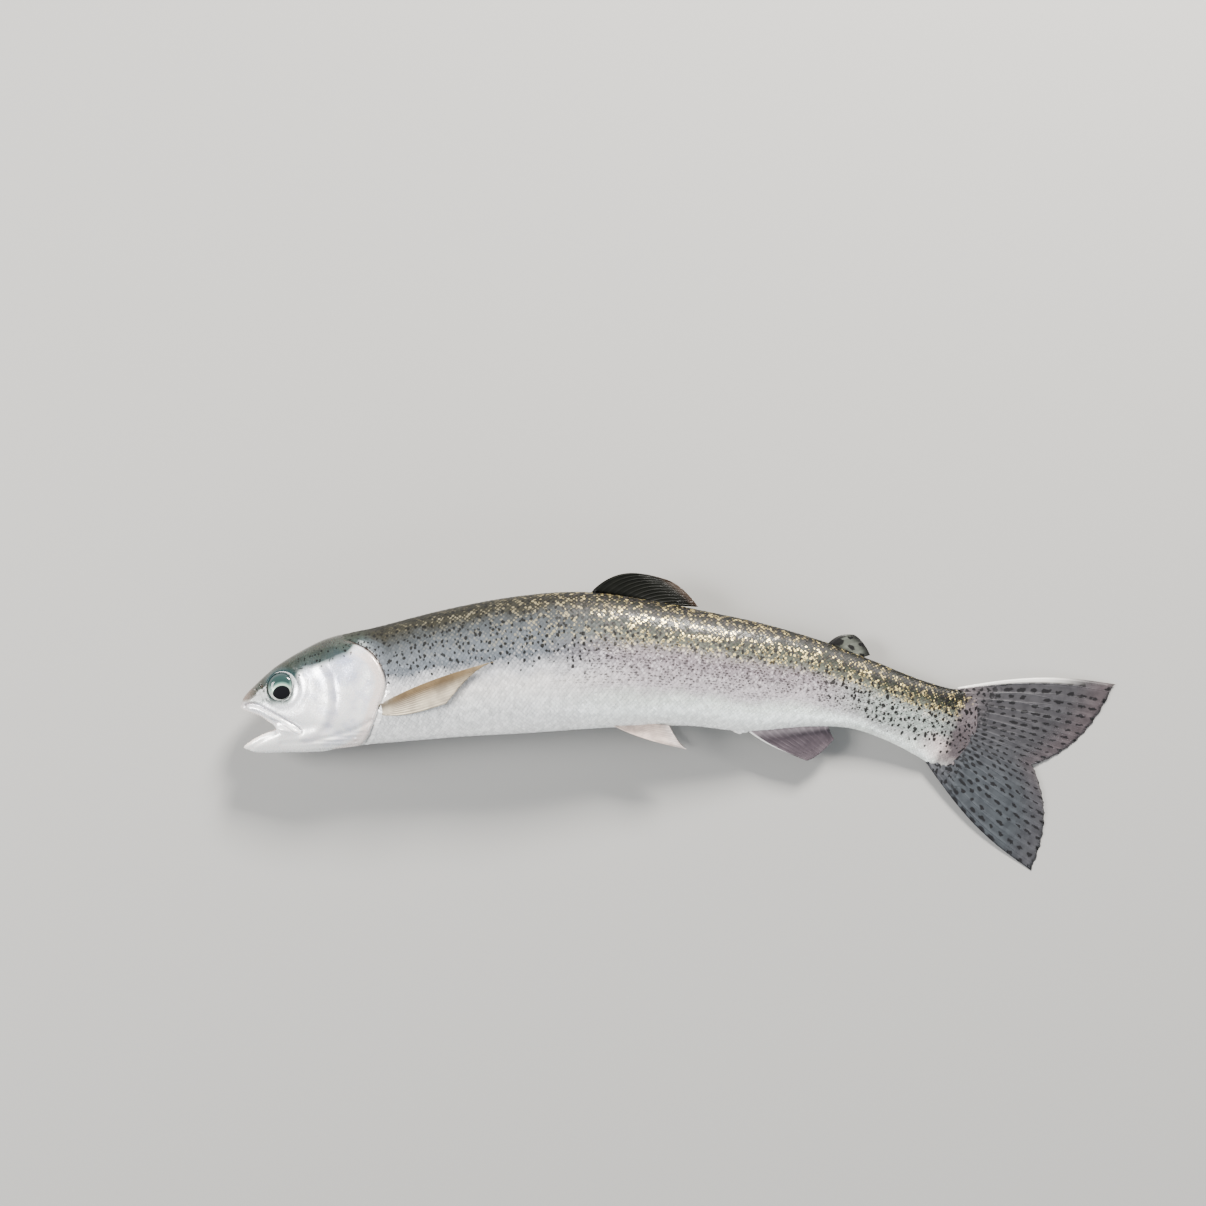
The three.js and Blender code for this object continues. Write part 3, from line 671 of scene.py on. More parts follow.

# The markings that skin and scales share: Place is in millimetres over the coat, Shade is 0 belly to 1 back,
# Tone is a number of each scale's own, Glint marks its bright middle, where a glint of light is painted, and
# Speck the dark mark that some carry.
# Steps of "along" are places along the fish in millimetres; steps of "uneven" are shades, a little clouded.
markings, given, result = new_group(
    "ShaderNodeTree", "trout_markings",
    {"Place": "Vector", "Shade": 0.5, "Tone": 0.5, "Glint": 0.0, "Speck": 0.0},
    {"Color": "Color", "Silver": "Float"},
)
place = given["Place"]
along, _, which_flank = place.parts()
patchy = place.noise(0.16, 4.0) - 0.5
uneven = patchy * along.step(40, 50, 0.3, 0.13) + given["Shade"]
flank = along.step(95, 135).blend(uneven.ramp(FRONT_COLOURS), uneven.ramp(REAR_COLOURS))
flank = along.step(43, 49).blend(uneven.ramp(HEAD_COLOURS), flank)
# a sea-green cast low on the tail stalk, a pink bloom at the root of the tail, then the tail's own grey
stalk = along.step(185, 215) * abs(uneven - 0.47).step(0.26, 0.08)
bloom = along.step(225, 236) * abs(uneven - 0.3).step(0.2, 0.06)
to_fin = (patchy * 14.0 + along).step(233, 240)
flank = flank.layered((stalk, 0.7, SEA_GREEN), (bloom, 0.7, PINK_BLOOM), (to_fin, 1.0, TAIL_GREY))
# each scale a little lighter or darker than the next
flank = flank.brightened(given["Tone"].step(0.0, 1.0, 0.84, 1.1))
# painted glints: golden and pale flecks standing in for sparkle off the middles of single scales, along the
# upper flank and strongest towards the tail
lowest_glint = along.step(90, 150, 0.85, 0.62)
highest_glint = along.step(66, 108, 1.0, 0.93)
painted_glint = along.step(80, 150, 0.3, 1.0) * uneven.step(lowest_glint, lowest_glint + 0.1)
painted_glint = painted_glint * uneven.step(highest_glint, highest_glint - 0.08)
# pale painted glints lower down the flank, more of them towards the tail
pale = uneven.step(0.3, 0.45) * along.step(70, 125, 0.08, 0.35)
painted_glint = (painted_glint | pale) * along.step(42, 78) * given["Glint"] * (1.0 - to_fin)
glint_colour = along.step(70, 140).blend(FRONT_GLINT, REAR_GLINT)
flank = painted_glint.blend(flank, uneven.step(0.55, 0.7).blend(PALE_GLINT, glint_colour))
# dark specks on single scales down the rear flank
specked = uneven.step(0.24, 0.4) * along.step(88, 125) * (1.0 - to_fin) * given["Speck"]
flank = flank.layered((specked, 0.88, SPECK_BROWN))
# black spots, small and crowded along the back, larger towards the tail, none on the belly
wobble = place.noise(0.8, output="Color").vector("SUBTRACT", (0.5, 0.5, 0.5))
wobbled = wobble.vector("MULTIPLY_ADD", (1.0, 1.0, 0), place)
own_flank = add_node(markings, "ShaderNodeCombineXYZ", {"Y": which_flank})  # the flanks' spots differ
lowest_spot = along.step(90, 140, 0.46, 0.34) - along.step(190, 230, 0.0, 0.14)
wanted = (uneven - lowest_spot).step(0.0, 0.16, 0.0, 0.9)
growing = along.step(130, 215, 0.8, 0.9) * along.step(36, 48, 0.72, 1.0)
spots = []
for spacing, shift in SPOT_LAYERS:
    shifted = wobbled.vector("ADD", (shift, shift, 0)).vector("ADD", own_flank)
    from_middle = shifted.vector("MULTIPLY", SPOT_STRETCH).cells(1 / spacing, 0.75)
    drawn = add_node(markings, "ShaderNodeSeparateColor", {0: from_middle.other("Color")})
    radius = (drawn.other(1) * SPOT_VARIETY + SPOT_RADIUS) * growing
    spots.append((from_middle - radius).step(BLUR, -BLUR) * (drawn < wanted))
spot = (spots[0] | spots[1]) * along.step(14, 24)
faded = along.step(112, 135) * along.step(200, 178) * uneven.step(0.74, 0.6, 0.0, 0.28)
silver = uneven.step(0.72, 0.5, 0.03, 0.42) * uneven.step(0.0, 0.4, 0.35, 1.0)
fill(result, {
    "Color": (spot * (0.97 - faded)).blend(flank, SPOT_BLACK),
    "Silver": (silver | painted_glint * 0.5) * (1.0 - spot),
})


def mark_up(tree):
    """Places the markings in a material, fed by the piece's own notes."""
    on_coat = read(tree, "round", "Vector")
    inputs = {"Place": on_coat, "Shade": read(tree, "shade"), "Tone": read(tree, "tone")}
    return add_node(tree, "ShaderNodeGroup", inputs, "Color", node_tree=markings), on_coat


wet_skin, tree, shader = new_material("wet_skin")
marks, _ = mark_up(tree)
fish = read(tree, "fish", "Vector")
fish_s, fish_n, _ = fish.parts()
inner, lip, behind, blade, eye_ring, cheek_line = (
    read(tree, name) for name in ("inner", "lip", "behind", "blade", "eye_ring", "cheek_line"))
# the bare cheek's cloudy silver and blue sheen, and a bluish painted shade along the groove down its hind
# edge
on_cover = behind.step(-1.5, -4)
cheek = fish_s.step(18, 26) * on_cover * fish.noise(0.22, 3.0).step(0.42, 0.62, 0.0, 0.55)
sheen = fish.vector("MULTIPLY", (1, 1, 0)).vector("DISTANCE", (37.5, 8.5, 0)).step(8.5, 2.0) * on_cover
preopercle_shade = cheek_line.step(2.4, 0.2) * fish_n.step(11, 7)
# the lips, the painted shadow over the upper jaw's plate, the gill cover's soft rim and a painted shadow
# in the slit behind it
lips = lip.step(1.5, 0.6)
jaw_line = abs(blade - 0.45).step(0.6, 0.1) * lip.step(1.0, 2.2)
soft_rim = behind.step(-3.2, -2.0) * behind.step(0.5, 0.1) * fish_n.step(13, 10)
slit = abs(behind - 0.55).step(0.55, 0.15) * fish_n.step(-6, 12, 0.2, 0.9) * fish_n.step(17, 14.5)
# a sea-green painted shadow under the brow over the eye, and the brownish tip of the snout
brow_shadow = eye_ring.step(7.6, 5.2) * (fish_s * 0.35 + fish_n).step(10.8, 13.8)
snout = fish_s.step(8.5, 1) * fish_n.step(0.5, 3.5)
colour = marks.layered(
    (cheek, 1.0, (204, 208, 226), "MULTIPLY"),
    (sheen, 0.6, (190, 200, 226), "MULTIPLY"),
    (preopercle_shade, 0.55, (196, 194, 206), "MULTIPLY"),
    (lips, 0.8, (234, 222, 216)),
    (jaw_line, 0.6, (128, 124, 136)),
    (soft_rim, 0.75, (238, 222, 214)),
    # painted shadow in the gill slit
    (slit, 1.0, (62, 54, 50)),
    (brow_shadow, 0.85, (15, 40, 43)),
    (snout, 0.45, (146, 120, 108)),
    (inner, 1.0, (206, 164, 152)),
)
grain = fish.noise(1.6, 5.0)
pores = fish.into("ShaderNodeTexVoronoi", {"Vector": fish, "Scale": 1.5}, "Distance", feature="SMOOTH_F1")
fill(shader, {
    "Base Color": colour,
    "Metallic": marks.other("Silver") * (1.0 - (inner | lips)),
    "Roughness": grain.step(0.3, 0.7, 0.2, 0.34),
    "Normal": (pores.step(0.0, 0.3) * 0.5 + grain).bump(0.35, 0.00012),
    "Specular IOR Level": 0.35, "Coat Weight": 0.42, "Coat Roughness": 0.06,
    "Subsurface Weight": 0.1, "Subsurface Radius": (0.002, 0.0012, 0.001),
})

SKIN_CLEARANCE = 0.24
skin = make_piece("skin", laid(skin_places, SKIN_CLEARANCE), skin_faces, wet_skin)
skin_s, skin_n, skin_b = skin_places.T
in_mouth = ease(0.5, 1.5, -outer_form(skin_s, skin_n, skin_b)) * (1 - ease(20, 23, skin_s))
in_mouth *= eye_distance(skin_s, skin_n, np.abs(skin_b)) > 0.3
lower_edge = 1 - upper_edge(skin_s, skin_n)
note(
    skin, fish=skin_places, shade=shade_of(skin_s, skin_n), round=round_of(skin_places),
    tone=np.full(len(skin_places), 0.5), inner=in_mouth, lip=line_distance(GAPE, skin_s, skin_n, closed=True),
    blade=line_distance(MAXILLA, skin_s, skin_n, closed=True) + 3 * lower_edge,
    behind=line_distance(HEAD_SIDE, skin_s, skin_n, closed=True),
    cheek_line=line_distance(PREOPERCLE, skin_s, skin_n),
    eye_ring=np.hypot(skin_s - EYE[0], skin_n - EYE[1]),
)
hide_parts("head", "lower_jaw", "maxilla_left", "maxilla_right", "gill_cover_left", "gill_cover_right",
            "trunk_front", "trunk_rear", "tail_stalk")
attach(skin, "root")

# ---- The scales ------------------------------------------------------------------------------------------
# About sixteen thousand thin round scales in slanting rows, each rooted in the skin by its front
# edge and lying back over the next. They start behind the gill covers and run onto the tail.
SCALE_SPACING, SCALE_PITCH = 0.84, 1.5  # between rows, and along a row
SCALE_LENGTH, SCALE_WIDTH, SCALE_DOME, SCALE_THICK = 2.15, 1.9, 0.07, 0.03
SCALE_CORNERS = 12
ROOTED = 0.36  # share of a scale's length that lies ahead of its root
SCALE_TILT, SCALE_WAVER = 0.095, 0.05
PATCH_HALF = 0.0015  # half of one scale's patch on the coat's map
MAP_MARGIN = 0.02
FIRST_SCALE_S, LAST_SCALE_S = 35, 241.5
OUTLINE_STEPS = 241
RIDGE_GAP = 0.3  # the rows stop this far from the ridge of the back and the keel of the belly
HEAD_GAP = 1.15  # and this far behind the gill cover's edge
THIN_OUT = (236.5, 242.5)  # they thin out between these places along the tail
scale_growth = smooth_rows([(36, 0.72), (62, 0.93), (100, 1.0), (150, 0.95), (200, 0.84), (245, 0.66)])


def flank_roots():
    """Roots of the left flank's scales in the straight fish, the way up the flank, and its share."""
    roots, upward, share = [], [], []
    s, column = FIRST_SCALE_S, 0
    while s < LAST_SCALE_S:
        growth = scale_growth(s)[0]
        outline_n, outline_b, length = (part[0] for part in section_outline([s], OUTLINE_STEPS))
        row_gap = SCALE_SPACING * growth
        most = int(length[-1] / row_gap) + 2
        row = np.arange(-most, most + 1)
        row = row[(row + column) % 2 == 0]
        arc = length[OUTLINE_STEPS // 2] + row * row_gap
        arc = arc[(arc > RIDGE_GAP) & (arc < length[-1] - RIDGE_GAP)]
        n, b = (np.interp(arc, length, part) for part in (outline_n, outline_b))
        ahead, astern = (
            np.stack([np.interp(arc + off, length, part) for part in (outline_n, outline_b)])
            for off in (0.2, -0.2))
        way = np.stack([np.zeros(len(arc)), *(ahead - astern)], 1)
        roots.append(np.stack([np.full(len(arc), s), n, b], 1))
        upward.append(way / np.linalg.norm(way, axis=1)[:, None])
        share.append(arc / length[-1])
        s += SCALE_PITCH / 2 * growth
        column += 1
    return np.vstack(roots), np.vstack(upward), np.concatenate(share)


def noted(tree, name, kind="FLOAT_VECTOR"):
    """What a piece's own note says, in a tree that makes geometry."""
    return add_node(tree, "GeometryNodeInputNamedAttribute", {"Name": name}, data_type=kind)


def store(solid, name, value, kind, domain):
    inputs = {"Geometry": solid, "Name": name, "Value": value}
    return solid.into("GeometryNodeStoreNamedAttribute", inputs, data_type=kind, domain=domain)


def scaled(vector, factor):
    return vector.into("ShaderNodeVectorMath", {0: vector, "Scale": factor}, operation="SCALE")


def stood(tree, waver, seed, lift=0.0):
    """How a piece stands on its root: up along outward, back along tailward, and a little at random."""
    axes = {"Primary Axis": noted(tree, "outward"), "Secondary Axis": noted(tree, "tailward")}
    stand = add_node(tree, "FunctionNodeAxesToRotation", axes)
    spread = {"Min": waver * -1.0, "Max": waver, "Seed": seed}
    lean = add_node(tree, "FunctionNodeRandomValue", spread, data_type="FLOAT_VECTOR")
    lean = lean.vector("ADD", add_node(tree, "ShaderNodeCombineXYZ", {"Y": lift}))
    lean = lean.into("FunctionNodeEulerToRotation", {"Euler": lean})
    return stand.into(
        "FunctionNodeRotateRotation", {"Rotation": stand, "Rotate By": lean}, rotation_space="LOCAL")


def planted(roots, piece, turned):
    """One solid from a piece set on every root, at the root's own size."""
    size = noted(roots.socket.id_data, "size", "FLOAT")
    inputs = {"Points": roots, "Instance": piece, "Rotation": turned, "Scale": size}
    laid_out = roots.into("GeometryNodeInstanceOnPoints", inputs)
    return roots.into("GeometryNodeRealizeInstances", {"Geometry": laid_out})


def finish(solid, material, result):
    """Gives a solid its material and ends the tree with it."""
    solid = solid.into("GeometryNodeSetMaterial", {"Geometry": solid, "Material": material})
    fill(result, {"Geometry": solid})


def new_grower(name, inputs):
    """An empty Geometry Nodes tree with a geometry going in and out and named inputs for its sizes."""
    shape = {"Geometry": "Geometry"}
    return new_group("GeometryNodeTree", name, shape | inputs, shape)


def grown(name, carrier, tree, sizes):
    """Runs a tree on a carrier and keeps the result as a plain mesh piece."""
    grower = carrier.modifiers.new("grower", "NODES")
    grower.node_group = tree
    for item in tree.interface.items_tree:
        if item.name in sizes:
            grower[item.identifier] = sizes[item.name]
    depsgraph = bpy.context.evaluated_depsgraph_get()
    mesh = bpy.data.meshes.new_from_object(carrier.evaluated_get(depsgraph), depsgraph=depsgraph)
    bpy.data.objects.remove(carrier)
    return set_out(name, mesh)


lay_scales, given, result = new_grower("lay_scales", {
    "Scale": "Object", "Tilt": "Float", "Waver": "Float", "Seed": "Int", "Patch Half": "Float",
    "Finish": "Material",
})
scale_shape = add_node(lay_scales, "GeometryNodeObjectInfo", {"Object": given["Scale"]}, "Geometry")
turned = stood(lay_scales, given["Waver"], given["Seed"], given["Tilt"] * -1.0)
solid = planted(given["Geometry"], scale_shape, turned)
spread = scaled(noted(lay_scales, "spread"), noted(lay_scales, "size", "FLOAT"))
on_coat = spread.vector("ADD", noted(lay_scales, "round"))
solid = store(solid, "round", on_coat, "FLOAT_VECTOR", "POINT")
on_map = scaled(noted(lay_scales, "patch"), given["Patch Half"]).vector("ADD", noted(lay_scales, "root"))
solid = store(solid, "OFBake", on_map, "FLOAT2", "CORNER")
for spent in ("outward", "tailward", "spread", "size", "root"):
    solid = solid.into("GeometryNodeRemoveAttribute", {"Geometry": solid, "Name": spent})
finish(solid, given["Finish"], result)

wet_scale, tree, shader = new_material("wet_scale")
marks, on_coat = mark_up(tree)
patch, tone = read(tree, "patch", "Vector"), read(tree, "tone")
from_middle = patch.vector("LENGTH")
# a bright ragged painted glint or a dark speck on the hind half of some scales, picked by the scale's own
# tone
ragged = on_coat.noise(1.7, 1.0, "Color").vector("ADD", patch)
glint_reach = (tone * 37.0).calc("FRACT") + on_coat.noise(0.45).step(0.35, 0.65, -0.5, 0.06)
from_glint = ragged.vector("DISTANCE", (1.02, 0.5, 0.5)) - glint_reach * 0.68
from_speck = ragged.vector("SUBTRACT", (1.1, 0.5, 0.5)).vector("MULTIPLY", (1.0, 1.5, 0)).vector("LENGTH")
carries_speck = (tone * 71.0).calc("FRACT") < 0.5
fill(marks.socket.node, {
    "Glint": from_glint.step(0.12, -0.12), "Speck": from_speck.step(0.5, 0.34) * carries_speck})
silver = marks.other("Silver")
sheen = on_coat.noise(0.5).step(0.3, 0.7, 0.2, 0.32)
# each scale darker and bluer towards its rim
fill(shader, {
    "Base Color": marks.layered((from_middle.step(0.72, 1.0), 0.4, (166, 171, 178), "MULTIPLY")),
    "Metallic": silver,
    "Roughness": sheen + silver.step(0.35, 0.02, 0.0, 0.24),
    "Normal": (from_middle * 46.0).calc("SINE").bump(0.15, 0.00002),
    "Specular IOR Level": 0.2, "Coat Weight": 0.06, "Coat Roughness": 0.1,
})

rim_turn = np.linspace(0, 2 * np.pi, SCALE_CORNERS, endpoint=False)
rim_x, rim_y = np.cos(rim_turn), np.sin(rim_turn)
plate = np.stack([rim_x, rim_y, -SCALE_THICK * rim_y**2 / SCALE_WIDTH], 1)
plate = np.vstack([plate, [0.1, 0, SCALE_DOME], [0, 0, -SCALE_THICK]])
patch_place = plate * (1, 1, 0)
plate[:, 0] = (plate[:, 0] / 2 + 0.5 - ROOTED) * SCALE_LENGTH
plate[:, 1] *= SCALE_WIDTH / 2
corners = [(i, (i + 1) % SCALE_CORNERS) for i in range(SCALE_CORNERS)]
plate_faces = [(a, b, SCALE_CORNERS) for a, b in corners] + [(b, a, SCALE_CORNERS + 1) for a, b in corners]
scale_pattern = make_piece("scale_pattern", plate, plate_faces, wet_scale)
note(scale_pattern, patch=patch_place, spread=plate * (1, 1, 0))
rim_sharp = [max(edge.vertices) < SCALE_CORNERS for edge in scale_pattern.data.edges]
scale_pattern.data.attributes.new("sharp_edge", "BOOLEAN", "EDGE").data.foreach_set("value", rim_sharp)

left_roots, left_up, left_share = flank_roots()
chance = np.random.default_rng(23)
kept = line_distance(HEAD_SIDE, left_roots[:, 0], left_roots[:, 1], closed=True) > HEAD_GAP
kept &= chance.random(len(left_roots)) < 1 - ease(*THIN_OUT, left_roots[:, 0])
left_roots, left_up, left_share = (part[kept] for part in (left_roots, left_up, left_share))
for flank, side in (("left", 1), ("right", -1)):
    mirror = np.array([1, 1, side])
    roots, up = left_roots * mirror, left_up * mirror
    for _ in range(4):
        roots = dropped(roots, skin_field, 0.5)
    tail_end, up_end = roots + (0.5, 0, 0), roots + up * 0.4
    for _ in range(2):
        tail_end, up_end = dropped(tail_end, skin_field, 0.5), dropped(up_end, skin_field, 0.5)
    at, tail_at, up_at = (laid(part, SKIN_CLEARANCE) for part in (roots, tail_end, up_end))
    bed = make_piece("scale_bed", at, [], wet_scale)
    along_share = (roots[:, 0] - FIRST_SCALE_S) / (LAST_SCALE_S - FIRST_SCALE_S)
    on_map = [MAP_MARGIN + (1 - 2 * MAP_MARGIN) * share for share in (along_share, left_share)]
    note(
        bed, tailward=tail_at - at, outward=side * np.cross(tail_at - at, up_at - at),
        size=scale_growth(roots[:, 0])[:, 0], round=round_of(roots), shade=shade_of(roots[:, 0], roots[:, 1]),
        tone=chance.random(len(roots)), root=np.stack([*on_map, np.zeros(len(roots))], 1),
    )
    scales = grown("scales_" + flank, bed, lay_scales, {
        "Scale": scale_pattern, "Tilt": SCALE_TILT, "Waver": SCALE_WAVER, "Seed": 7,
        "Patch Half": PATCH_HALF, "Finish": wet_scale,
    })
    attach(scales, "root")
bpy.data.objects.remove(scale_pattern)

# ---- The eyes --------------------------------------------------------------------------------------------
# A flattened wet ball sunk in its socket on each side, looking a little down: a black lens standing
# in a silver iris that is sea-green above, under a thin coat of gloss.
PUPIL_AT = (-0.3, -1.85)  # how far the rings' middle moves forward and down towards the lens
PUPIL_RING = 0.53  # share of the ball's radius
EYE_SPOKES = 56
FRONT_RINGS = [0.03, 0.12, 0.22, 0.32, 0.42, 0.49, 0.53, 0.56, 0.62, 0.7, 0.78, 0.85, 0.9, 0.94, 0.97, 0.99]
RECESS_AT, RECESS = [0, 0.4, 0.52, 0.6, 0.85, 0.95, 1], [0.0, 0.03, 0.09, 0.13, 0.08, 0.02, 0.02]
BACK_RINGS, BACK_RECESS = [0.99, 0.9, 0.75, 0.55, 0.3, 0.05], [0.3] * 6
LENS_BLACK = (0.003, 0.003, 0.004, 1)


def eye_rings(rings, recess, side):
    """Rings from the lens out over the front of the ball, each at its depth inside it."""
    rings, recess = np.asarray(rings)[:, None], np.asarray(recess)[:, None]
    spoke = np.linspace(0, 2 * np.pi, EYE_SPOKES, endpoint=False)[None]
    teardrop = 1 + 0.08 * ridge(spoke - np.pi, 0.5) * ridge(rings - PUPIL_RING, 0.16)
    pull = np.maximum(1 - rings**2, 0)
    oval = 1 - ease(0.5, 0.95, rings)
    s = rings * teardrop * EYE_RADIUS * (1 + 0.05 * oval) * np.cos(spoke) + PUPIL_AT[0] * pull
    n = rings * teardrop * EYE_RADIUS * (1 - 0.15 * oval) * np.sin(spoke) + PUPIL_AT[1] * pull
    out = (EYE_DEPTH - recess) * np.sqrt(np.maximum(1 - (np.hypot(s, n) / EYE_RADIUS) ** 4, 0))
    places = np.stack([s, n, side * out], -1) + np.array(EYE) * (1, 1, side)
    return places, rings * np.ones_like(spoke), np.sin(spoke) * np.ones_like(rings)


def ring_faces(rings, spokes, side):
    """Faces between rings of a shell, with a face over its first and last ring."""
    faces = []
    for i in range(rings - 1):
        for j in range(spokes):
            a, b = i * spokes + j, i * spokes + (j + 1) % spokes
            faces.append((a, a + spokes, b + spokes, b))
    faces += [tuple(range(spokes)), tuple(reversed(range((rings - 1) * spokes, rings * spokes)))]
    return faces if side > 0 else [face[::-1] for face in faces]


iris, tree, shader = new_material("iris")
ring_at, rise_at = read(tree, "eye_ring"), read(tree, "eye_rise")
threads = add_node(tree, "ShaderNodeTexCoord", {}, "Object").noise(1500.0, 5.0)
shadowed = ring_at.step(0.57, 0.72) * rise_at.step(0.1, 0.7)
lens = ring_at.step(PUPIL_RING + 0.012, PUPIL_RING - 0.012)
lens_rim = abs(ring_at - (PUPIL_RING + 0.045)).step(0.05, 0.02)
silver_iris = threads.ramp([(0.3, 150, 158, 156), (0.5, 214, 218, 214), (0.66, 246, 246, 240)])
colour = silver_iris.layered(
    (rise_at.step(-0.3, 0.6), 0.9, (112, 160, 144)),
    (shadowed, 0.94, (8, 29, 32)),
    (lens_rim, 0.5, (206, 208, 190)),
    # a dark rim round the edge of the ball, painted shade where it sinks into its socket
    (ring_at.step(0.8, 0.96), 0.9, (40, 52, 53)),
)
fill(shader, {
    "Base Color": lens.blend(colour, LENS_BLACK),
    "Metallic": (1.0 - (lens | shadowed)) * 0.45,
    "Normal": threads.bump(0.25, 0.00005),
    "Roughness": 0.35, "Specular IOR Level": 0.03, "Coat Weight": 0.6, "Coat Roughness": 0.02,
})

front_recess = np.interp(FRONT_RINGS, RECESS_AT, RECESS)
ring_count = len(FRONT_RINGS) + len(BACK_RINGS)
for flank, side in (("left", 1), ("right", -1)):
    front, ring, rise = eye_rings(FRONT_RINGS, front_recess, side)
    back, back_ring, back_rise = eye_rings(BACK_RINGS, BACK_RECESS, side)
    back[..., 2] = 2 * side * EYE[2] - back[..., 2]
    ball_places = bent(np.vstack([front, back]).reshape(-1, 3)) + to_frame
    ball = make_piece("eyeball_" + flank, ball_places, ring_faces(ring_count, EYE_SPOKES, side), iris)
    note(ball, eye_ring=np.vstack([ring, np.ones_like(back_ring)]).ravel(),
         eye_rise=np.vstack([rise, back_rise]).ravel())
    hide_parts("eye_" + flank)
    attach(ball, "root")

# ---- The tongue and teeth --------------------------------------------------------------------------------
# A short fleshy tongue on the floor of the open mouth, and one row of tiny pointed teeth set in the
# gum along the edge of each jaw.
TONGUE, TONGUE_HALVES = np.array([9.6, -10, 0]), (6.4, 2, 2.7)
TONGUE_RINGS, TONGUE_SPOKES = 22, 28
TONGUE_CLEARANCE = 0.05
wet_gum, tree, shader = new_material("wet_gum")
veins = add_node(tree, "ShaderNodeTexCoord", {}, "Object").noise(700.0, 4.0)
fill(shader, {
    "Base Color": veins.ramp([(0.35, 186, 150, 144), (0.65, 216, 190, 182)]),
    "Normal": veins.bump(0.4, 0.0001),
    "Roughness": 0.3, "Coat Weight": 0.6, "Coat Roughness": 0.08,
    "Subsurface Weight": 0.15, "Subsurface Radius": (0.002, 0.001, 0.0008),
})

tongue_turn = np.radians(np.linspace(2, 178, TONGUE_RINGS))[:, None]
spoke = np.linspace(0, 2 * np.pi, TONGUE_SPOKES, endpoint=False)[None]
tongue_b = np.sin(tongue_turn) * np.sin(spoke)
tongue_n = np.sin(tongue_turn) * np.cos(spoke)
tongue_n -= 0.16 * ridge(tongue_b, 0.16) * (tongue_n > 0) * np.sin(tongue_turn)
tongue_shape = np.stack([-np.cos(tongue_turn) * np.ones_like(spoke), tongue_n, tongue_b], -1)
tongue_places = laid(tongue_shape.reshape(-1, 3) * TONGUE_HALVES + TONGUE, TONGUE_CLEARANCE)
tongue = make_piece("tongue_flesh", tongue_places, ring_faces(TONGUE_RINGS, TONGUE_SPOKES, -1), wet_gum)
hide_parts("tongue")
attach(tongue, "root")

set_teeth, given, result = new_grower("set_teeth", {
    "Length": "Float", "Thickness": "Float", "Lean": "Float", "Seed": "Int", "Finish": "Material",
})
cone = add_node(set_teeth, "GeometryNodeMeshCone", {
    "Vertices": 6, "Radius Bottom": given["Thickness"], "Radius Top": given["Thickness"] * 0.15,
    "Depth": given["Length"],
}, "Mesh")
turned = stood(set_teeth, given["Lean"], given["Seed"])
finish(planted(given["Geometry"], cone, turned), given["Finish"], result)

tooth_enamel, tree, shader = new_material("tooth_enamel")
cloud = add_node(tree, "ShaderNodeTexCoord", {}, "Object").noise(900.0)
fill(shader, {
    "Base Color": cloud.ramp([(0.3, 226, 218, 200), (0.7, 244, 240, 230)]),
    "Roughness": 0.25, "Coat Weight": 0.5,
})

# each row: its jaw, start s, end s, height at the start and end, how far in from the lip, way the teeth point
TOOTH_ROWS = [
    (jaw_section, 0.4, 9.0, -9.2, -6.2, 0.75, 1),
    (body_section, 2.4, 9.2, 0.2, -4.6, 0.85, -1),
]
TEETH_IN_ROW = 13
tooth_roots, tooth_ways = [], []
for section, start, end, first_n, last_n, inset, way in TOOTH_ROWS:
    for side in (1, -1):
        share = np.linspace(0, 1, TEETH_IN_ROW)
        s = mix(start, end, share)
        half = section(s)[:, 3]
        row = np.stack([s, mix(first_n, last_n, share), side * np.maximum(half - inset, 0.5)], 1)
        for _ in range(3):
            row = dropped(row, skin_field, 0.4)
        tooth_roots.append(row)
        tooth_ways.append(np.tile([-0.1, way, -0.25 * side], (TEETH_IN_ROW, 1)))
tooth_roots, tooth_ways = np.vstack(tooth_roots), np.vstack(tooth_ways)
gum_line = make_piece("gum_line", bent(tooth_roots) + to_frame, [], tooth_enamel)
note(gum_line, outward=bent(tooth_roots + tooth_ways) - bent(tooth_roots),
     tailward=np.tile([1.0, 0.2, 0.0], (len(tooth_roots), 1)),
     size=chance.uniform(0.55, 1.15, len(tooth_roots)))
teeth = grown("teeth", gum_line, set_teeth, {
    "Length": 0.42 * MM, "Thickness": 0.13 * MM, "Lean": 0.3, "Seed": 5, "Finish": tooth_enamel,
})
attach(teeth, "root")

# ---- The fins --------------------------------------------------------------------------------------------
# Each fin is a thin translucent web of skin stretched over bony rays that fork towards its edge. The
# small fatty fin on the back has no rays. The fins grow out of the flesh and have no joint.
FIN_CLEARANCE = 0.12
WEB_HALF_THICK = 0.07
ROOT_DIP, ROOTED_V = 1.9, 0.16  # how far a breast fin's root goes down into the flesh, and over what share
STEPS_TO_A_RAY, FEWEST_STEPS, STEPS_OUT = 6, 24, 26
EDGE_TAPER = 14  # a higher number keeps a web thick closer to its edge
RAY_TIP, MARGIN_RAY = 0.28, 1.25  # thickness of a ray's tip, and of the first and last ray, as a share
RAY_SIDES = 6
RAY_FORKS = [  # from and to a share of the ray's length, and each branch's place beside it at both ends
    (0.0, 0.42, [(0, 0)]),
    (0.42, 0.72, [(0, -0.26), (0, 0.26)]),
    (0.72, 1.0, [(-0.26, -0.42), (-0.26, -0.12), (0.26, 0.12), (0.26, 0.42)]),
]
DORSAL = {"base": [(114.5, 20.3), (137, 17.9)], "tips": [(137, 26.2), (147.5, 18.7)], "bow": (4.4, 0)}
ADIPOSE = {"base": [(189.5, 13.6), (199, 12.4)], "tips": [(197, 19.2), (203.6, 14.2)], "bow": (1.6, -0.6)}
ANAL = {"base": [(168.6, -18.2), (196.4, -11.4)], "tips": [(192, -24.6), (199.8, -15.6)], "bow": (-1.2, -0.5)}
